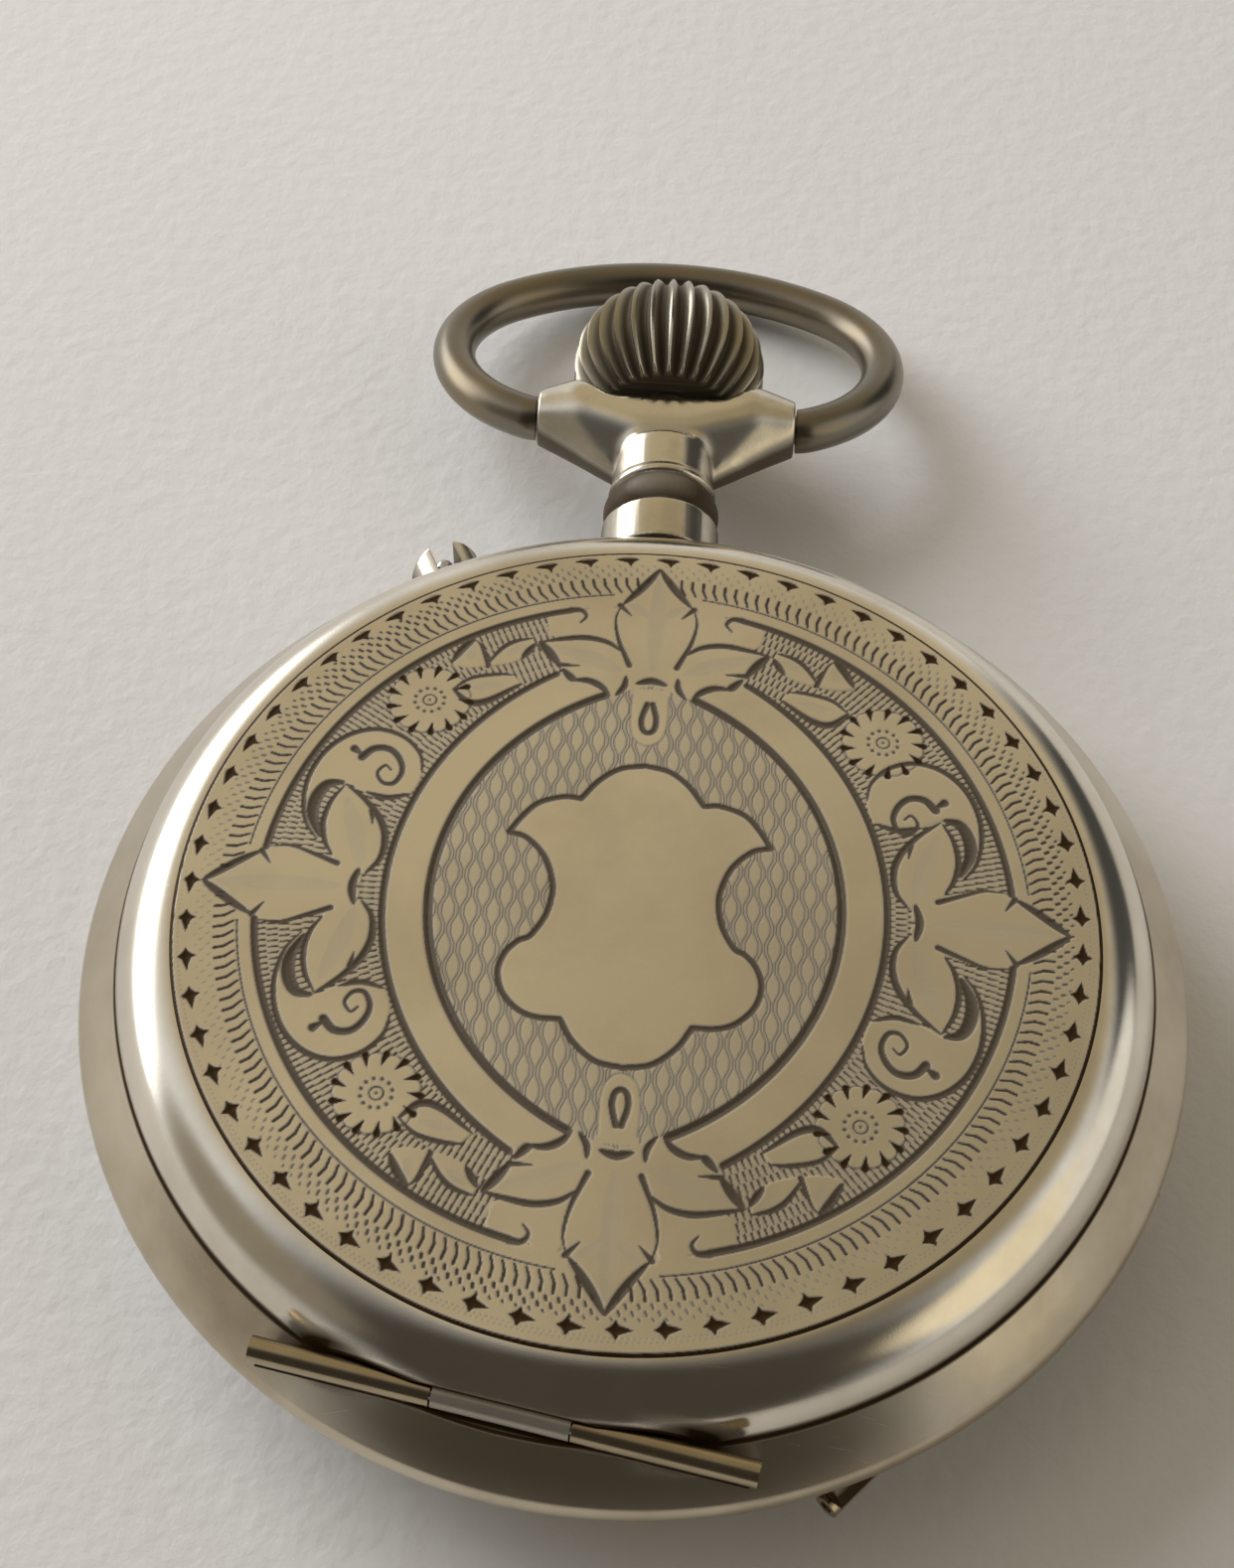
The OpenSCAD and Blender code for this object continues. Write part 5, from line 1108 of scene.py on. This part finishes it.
def makeCrown():
    around = crownForm["flutes"] * crownForm["pointsEach"]
    deselectAll()
    bpy.ops.mesh.primitive_circle_add(vertices=around, radius=crownRadius(0), fill_type="NGON")
    piece = nameActive("crown_fluted")
    editAll()
    last = crownRadius(0)
    for k in range(crownForm["rings"]):
        t = math.sin(math.pi / 2 * (k + 1) / crownForm["rings"])  # rings close up towards the top
        radius = crownRadius(t) if t < 1 else crownRadius(0.999)
        before = math.sin(math.pi / 2 * k / crownForm["rings"])
        rise = (t - before) * crownForm["height"]
        bpy.ops.mesh.extrude_region_move(TRANSFORM_OT_translate={"value": (0, 0, rise)})
        bpy.ops.transform.resize(value=(radius / last, radius / last, 1), center_override=(0, 0, 0))
        last = radius
    for share in (0.6, 0.25):  # a low button closes the top
        bpy.ops.mesh.inset(thickness=last * (1 - share))
        bpy.ops.transform.translate(value=(0, 0, 0.05))
        last *= share
    leaveEdit()
    mesh = piece.data
    place = meshArray(mesh)
    reach = np.hypot(place[:, 0], place[:, 1])
    t = np.clip(place[:, 2] / crownForm["height"], 0, 1)
    angle = np.arctan2(place[:, 1], place[:, 0])
    across = 2 * ((angle / (2 * math.pi) * crownForm["flutes"]) % 1.0) - 1  # -1 to 1 over one rib
    press = 0.5 - 0.5 * np.cos(math.pi * np.abs(across) ** 0.85)
    depth = crownForm["depth"] * (1 - 0.25 * t) * np.clip(reach / 2.2, 0, 1)
    place[:, :2] *= np.where(reach > 1.3, 1 - depth * press / np.maximum(reach, 1e-6), 1)[:, None]
    turned = np.column_stack([place[:, 0], place[:, 2] + crownForm["foot"], crownForm["axisZ"] - place[:, 1]])
    setPoints(mesh, turned)
    keepPatina(mesh, np.clip((press - 0.22) / 0.5, 0, 1) * 0.85)
    turnOutward(piece)
    bpy.ops.object.shade_smooth_by_angle(angle=math.radians(60))
    seat(piece, "crown", paints["fluted"])
    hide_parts("crown")


makeCrown()
print("crown fluted")


# bow: one wire, bent round five centres in its own plane and then tipped down to the table

bowForm = dict(
    wire=1.15,  # mm, radius
    start=(6.805, -0.12),  # at the pendant's right end
    bends=[((6.805, 1.18), 24.77, 8), ((4.25, 6.719), 118.77, 44), ((0, 0.968), 72.92, 40),
           ((-4.25, 6.719), 118.77, 44), ((-6.805, 1.18), 24.77, 8)],  # centre, degrees, steps
    pin=(0.75, 5.15),  # radius, inner end
    hinge=(33.45, 6.0), tilt=17.63,  # mm y and z, degrees
    lean=-0.02,  # the worn bow hangs a little to the left
)


def makeBow():
    deselectAll()
    place = bowForm["start"] + (0,)
    bpy.ops.mesh.primitive_circle_add(vertices=32, radius=bowForm["wire"], location=place,
                                      rotation=(0, math.radians(90), 0))
    wire = settle(nameActive("bow_wire"))
    editAll()
    for centre, degrees, steps in bowForm["bends"]:
        bpy.ops.mesh.spin(steps=steps, angle=math.radians(-degrees), center=centre + (0,), axis=(0, 0, 1))
    bpy.ops.mesh.select_all(action="SELECT")
    bpy.ops.mesh.fill_holes(sides=0)
    bpy.ops.mesh.normals_make_consistent(inside=False)
    leaveEdit()
    pieces = [wire]
    radius, inner = bowForm["pin"]
    for side in (1, -1):
        deselectAll()
        length = bowForm["start"][0] + 0.1 - inner
        bpy.ops.mesh.primitive_cylinder_add(vertices=32, radius=radius, depth=length,
                                            location=(side * (inner + length / 2), 0, 0),
                                            rotation=(0, math.radians(90), 0))
        pieces.append(settle(nameActive("bow_pin")))
    piece = joinPieces(pieces, "bow_wire")
    spread = meshArray(piece.data)
    spread[:, 0] += bowForm["lean"] * np.clip(spread[:, 1] - 1.5, 0, None)
    tilt = math.radians(bowForm["tilt"])
    turned = np.column_stack([
        spread[:, 0],
        bowForm["hinge"][0] + spread[:, 1] * math.cos(tilt) + spread[:, 2] * math.sin(tilt),
        bowForm["hinge"][1] - spread[:, 1] * math.sin(tilt) + spread[:, 2] * math.cos(tilt)])
    setPoints(piece.data, turned)
    workOn(piece)
    bpy.ops.object.shade_smooth_by_angle(angle=math.radians(50))
    print("bow box", turned.min(axis=0).round(2), turned.max(axis=0).round(2))
    seat(piece, "bow", paints["worn_silver"])
    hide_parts("bow")


makeBow()


# print on the dial: thin raised black enamel

dialPrint = dict(
    top=9.1, low=8.98,  # mm, the dial and its sunk seconds
    raised=0.015,
    numerals={1: "i", 2: "ii", 3: "iii", 4: "iiii", 5: "v", 7: "vii", 8: "viii", 9: "ix", 10: "x",
              11: "xi", 12: "xii"},  # the seconds stand in place of six
    foot=14.3, tall=3.5,  # mm, where the numerals stand
    thick=0.52, thin=0.14, space=0.78,
    track=(18.45, 19.05), trackLine=0.07,
    seconds=(10.2, 0.0), secondsTrack=(3.75, 4.1),
)


def blackBar(start, end, widthA, widthB):  # a flat bar in mm, from one point to the other
    deselectAll()
    bpy.ops.mesh.primitive_cube_add(size=1)
    piece = nameActive("bar")
    place = meshArray(piece.data)
    run = np.array(end, float) - np.array(start, float)
    length = np.hypot(*run)
    run /= length
    side = np.array([-run[1], run[0]])
    wide = np.where(place[:, 1] < 0, widthA, widthB)
    along = (place[:, 1] + 0.5) * length
    flat = np.array(start) + along[:, None] * run + (place[:, 0] * wide)[:, None] * side
    solid = np.column_stack([flat, (place[:, 2] + 0.5) * dialPrint["raised"]])
    piece.data.vertices.foreach_set("co", solid.ravel())
    return piece


def blackRing(radius, width):
    deselectAll()
    bpy.ops.mesh.primitive_circle_add(vertices=180, radius=radius + width / 2, fill_type="NGON")
    piece = nameActive("ring")
    editAll()
    bpy.ops.mesh.inset(thickness=width)
    bpy.ops.mesh.delete(type="FACE")
    bpy.ops.mesh.select_all(action="SELECT")
    bpy.ops.mesh.extrude_region_move(TRANSFORM_OT_translate={"value": (0, 0, dialPrint["raised"])})
    turnOutward(piece)
    return piece


def blackMarks(inner, outer, width, count):  # one mark, spun round
    piece = blackBar((0, inner), (0, outer), width, width)
    workOn(piece)
    editAll()
    bpy.ops.mesh.spin(steps=count, dupli=True, angle=2 * math.pi, center=(0, 0, 0), axis=(0, 0, 1))
    bpy.ops.mesh.select_all(action="SELECT")
    bpy.ops.mesh.remove_doubles(threshold=0.002)
    leaveEdit()
    return piece


def romanBars(letters):  # one numeral, standing on its foot line
    tall = dialPrint["tall"]
    thick = dialPrint["thick"]
    thin = dialPrint["thin"]
    widths = dict(i=dialPrint["space"], v=1.75, x=1.75)
    total = sum(widths[letter] for letter in letters)
    left = -total / 2
    bars = []
    for letter in letters:
        middle = left + widths[letter] / 2
        if letter == "i":
            bars.append(blackBar((middle, 0), (middle, tall), thick, thick))
        if letter == "v":
            bars.append(blackBar((middle, 0), (middle - 0.58, tall), 0.3, thick))
            bars.append(blackBar((middle, 0), (middle + 0.62, tall), thin, thin))
        if letter == "x":
            bars.append(blackBar((middle + 0.55, 0), (middle - 0.55, tall), thick, thick))
            bars.append(blackBar((middle - 0.55, 0), (middle + 0.55, tall), thin, thin))
        left += widths[letter]
    for height in (0.05, tall - 0.05):
        bars.append(blackBar((-total / 2 + 0.02, height), (total / 2 - 0.02, height), 0.1, 0.1))
    return joinPieces(bars, "numeral")


def settleMm(piece, x, y, z, turn=0.0):  # mm to metres, turned on the dial
    piece.location = (x * mm, y * mm, z * mm)
    piece.rotation_euler = (0, 0, turn)
    piece.scale = (mm, mm, mm)
    return settle(piece)


def makeDial():
    made = []
    for hour, letters in dialPrint["numerals"].items():
        away = math.radians(180 - 30 * hour)  # twelve points to -X, the hours run on towards +Y
        place = spotAt(dialPrint["foot"], away)
        numeral = romanBars(letters)
        made.append(settleMm(numeral, place[0], place[1], dialPrint["top"], away - math.pi / 2))
    for radius in dialPrint["track"]:
        made.append(settleMm(blackRing(radius, dialPrint["trackLine"]), 0, 0, dialPrint["top"]))
    inner, outer = dialPrint["track"]
    made.append(settleMm(blackMarks(inner, outer, 0.09, 60), 0, 0, dialPrint["top"]))
    made.append(settleMm(blackMarks(inner - 0.05, outer + 0.05, 0.24, 12), 0, 0, dialPrint["top"]))
    middle = dialPrint["seconds"]
    inner, outer = dialPrint["secondsTrack"]
    for radius in (inner, outer):
        made.append(settleMm(blackRing(radius, 0.05), middle[0], middle[1], dialPrint["low"]))
    made.append(settleMm(blackMarks(inner, outer, 0.06, 60), middle[0], middle[1], dialPrint["low"]))
    made.append(settleMm(blackMarks(inner - 0.03, outer, 0.13, 12), middle[0], middle[1], dialPrint["low"]))
    for number in (10, 20, 30, 40, 50, 60):
        deselectAll()
        bpy.ops.object.text_add()
        label = bpy.context.object
        label.data.body = str(number)
        label.data.size = 1.0
        label.data.extrude = dialPrint["raised"] / 2
        label.data.align_x = "CENTER"
        label.data.align_y = "CENTER"
        bpy.ops.object.convert(target="MESH")
        label = nameActive("seconds_number")
        away = math.radians(180 - 6 * number)
        place = np.array(middle) + spotAt(3.05, away)
        made.append(settleMm(label, place[0], place[1], dialPrint["low"] + 0.008, away - math.pi / 2))
    piece = joinPieces(made, "dial_print")
    turnOutward(piece)
    seat(piece, "case", paints["ink"])


makeDial()
print("dial printed")


# floor, world and lamps

def makeFloor():
    deselectAll()
    bpy.ops.mesh.primitive_plane_add(size=3)
    floor = nameActive("paper")
    bpy.ops.object.mode_set(mode="EDIT")
    bpy.ops.mesh.subdivide(number_cuts=8)
    bpy.ops.object.mode_set(mode="OBJECT")
    material, tree, shader = startMaterial("paper")
    coords = objectCoords(tree)
    shade = rangeNode(tree, noiseNode(tree, coords, 12.0, 5.0), 0.3, 0.7)
    colour = mixColours(tree, shade, linear(235, 234, 234), linear(228, 227, 227))
    tree.links.new(colour, shader.inputs["Base Color"])
    shader.inputs["Roughness"].default_value = 0.9
    shader.inputs["Specular IOR Level"].default_value = 0.1
    bumpFrom(tree, shader, noiseNode(tree, coords, 900.0, 4.0), 0.25, 0.0003)
    setPaint(floor, material)


roomTones = [  # direction, soft edge from and to, colour
    ((0.05, 0.62, 0.78), 0.50, 0.95, (0.50, 0.415, 0.27)),  # ceiling and far wall
    ((0.35, 0.25, 0.90), 0.84, 0.97, (0.36, 0.30, 0.195)),
    ((0.0, -0.8, 0.55), 0.36, 0.80, (0.06, 0.052, 0.042)),  # the side of the camera
    ((0.83, 0.54, 0.1), 0.82, 0.94, (0.06, 0.058, 0.055)),
    ((0.86, -0.3, 0.37), 0.90, 0.97, (0.95, 0.84, 0.62)),
    ((0.96, 0.16, 0.18), 0.94, 0.985, (0.85, 0.82, 0.76)),
    ((-0.86, -0.3, 0.37), 0.88, 0.97, (0.30, 0.265, 0.205)),
    ((-0.82, 0.55, 0.05), 0.83, 0.945, (3.4, 3.4, 3.4)),  # the window
]


def makeWorld():
    world = bpy.data.worlds.new("room")
    bpy.context.scene.world = world
    world.use_nodes = True
    tree = world.node_tree
    back = tree.nodes["Background"]
    way = addNode(tree, "ShaderNodeTexCoord").outputs["Generated"]

    def glow(direction, low, high):
        facing = vectorNode(tree, "DOT_PRODUCT", way, Vector(direction).normalized())
        made = addNode(tree, "ShaderNodeMapRange", {"Value": facing, "From Min": low, "From Max": high},
                       interpolation_type="SMOOTHSTEP")
        return made.outputs[0]

    colour = (0.79, 0.795, 0.80, 1)
    for direction, low, high, tone in roomTones:
        colour = mixColours(tree, glow(direction, low, high), colour, tone + (1,))
    tree.links.new(colour, back.inputs["Color"])
    back.inputs["Strength"].default_value = 1.0


lampSet = dict(
    window=dict(place=(-0.36, 0.27, 0.25), size=0.36, power=1.9, colour=(0.97, 0.98, 1.0)),
)


def makeLamps():
    for name, lamp in lampSet.items():
        deselectAll()
        bpy.ops.object.light_add(type="AREA", location=lamp["place"])
        made = nameActive("lamp_" + name)
        made.data.size = lamp["size"]
        made.data.energy = lamp["power"]
        made.data.color = lamp["colour"]
        made.visible_glossy = False  # polished silver shows the room, not the lamp
        made.rotation_mode = "QUATERNION"
        made.rotation_quaternion = (Vector((0, 0, 0.006)) - Vector(lamp["place"])).to_track_quat("-Z", "Y")


makeFloor()
makeWorld()
makeLamps()
bpy.context.scene.view_settings.view_transform = "Standard"
print("stage and light ready")
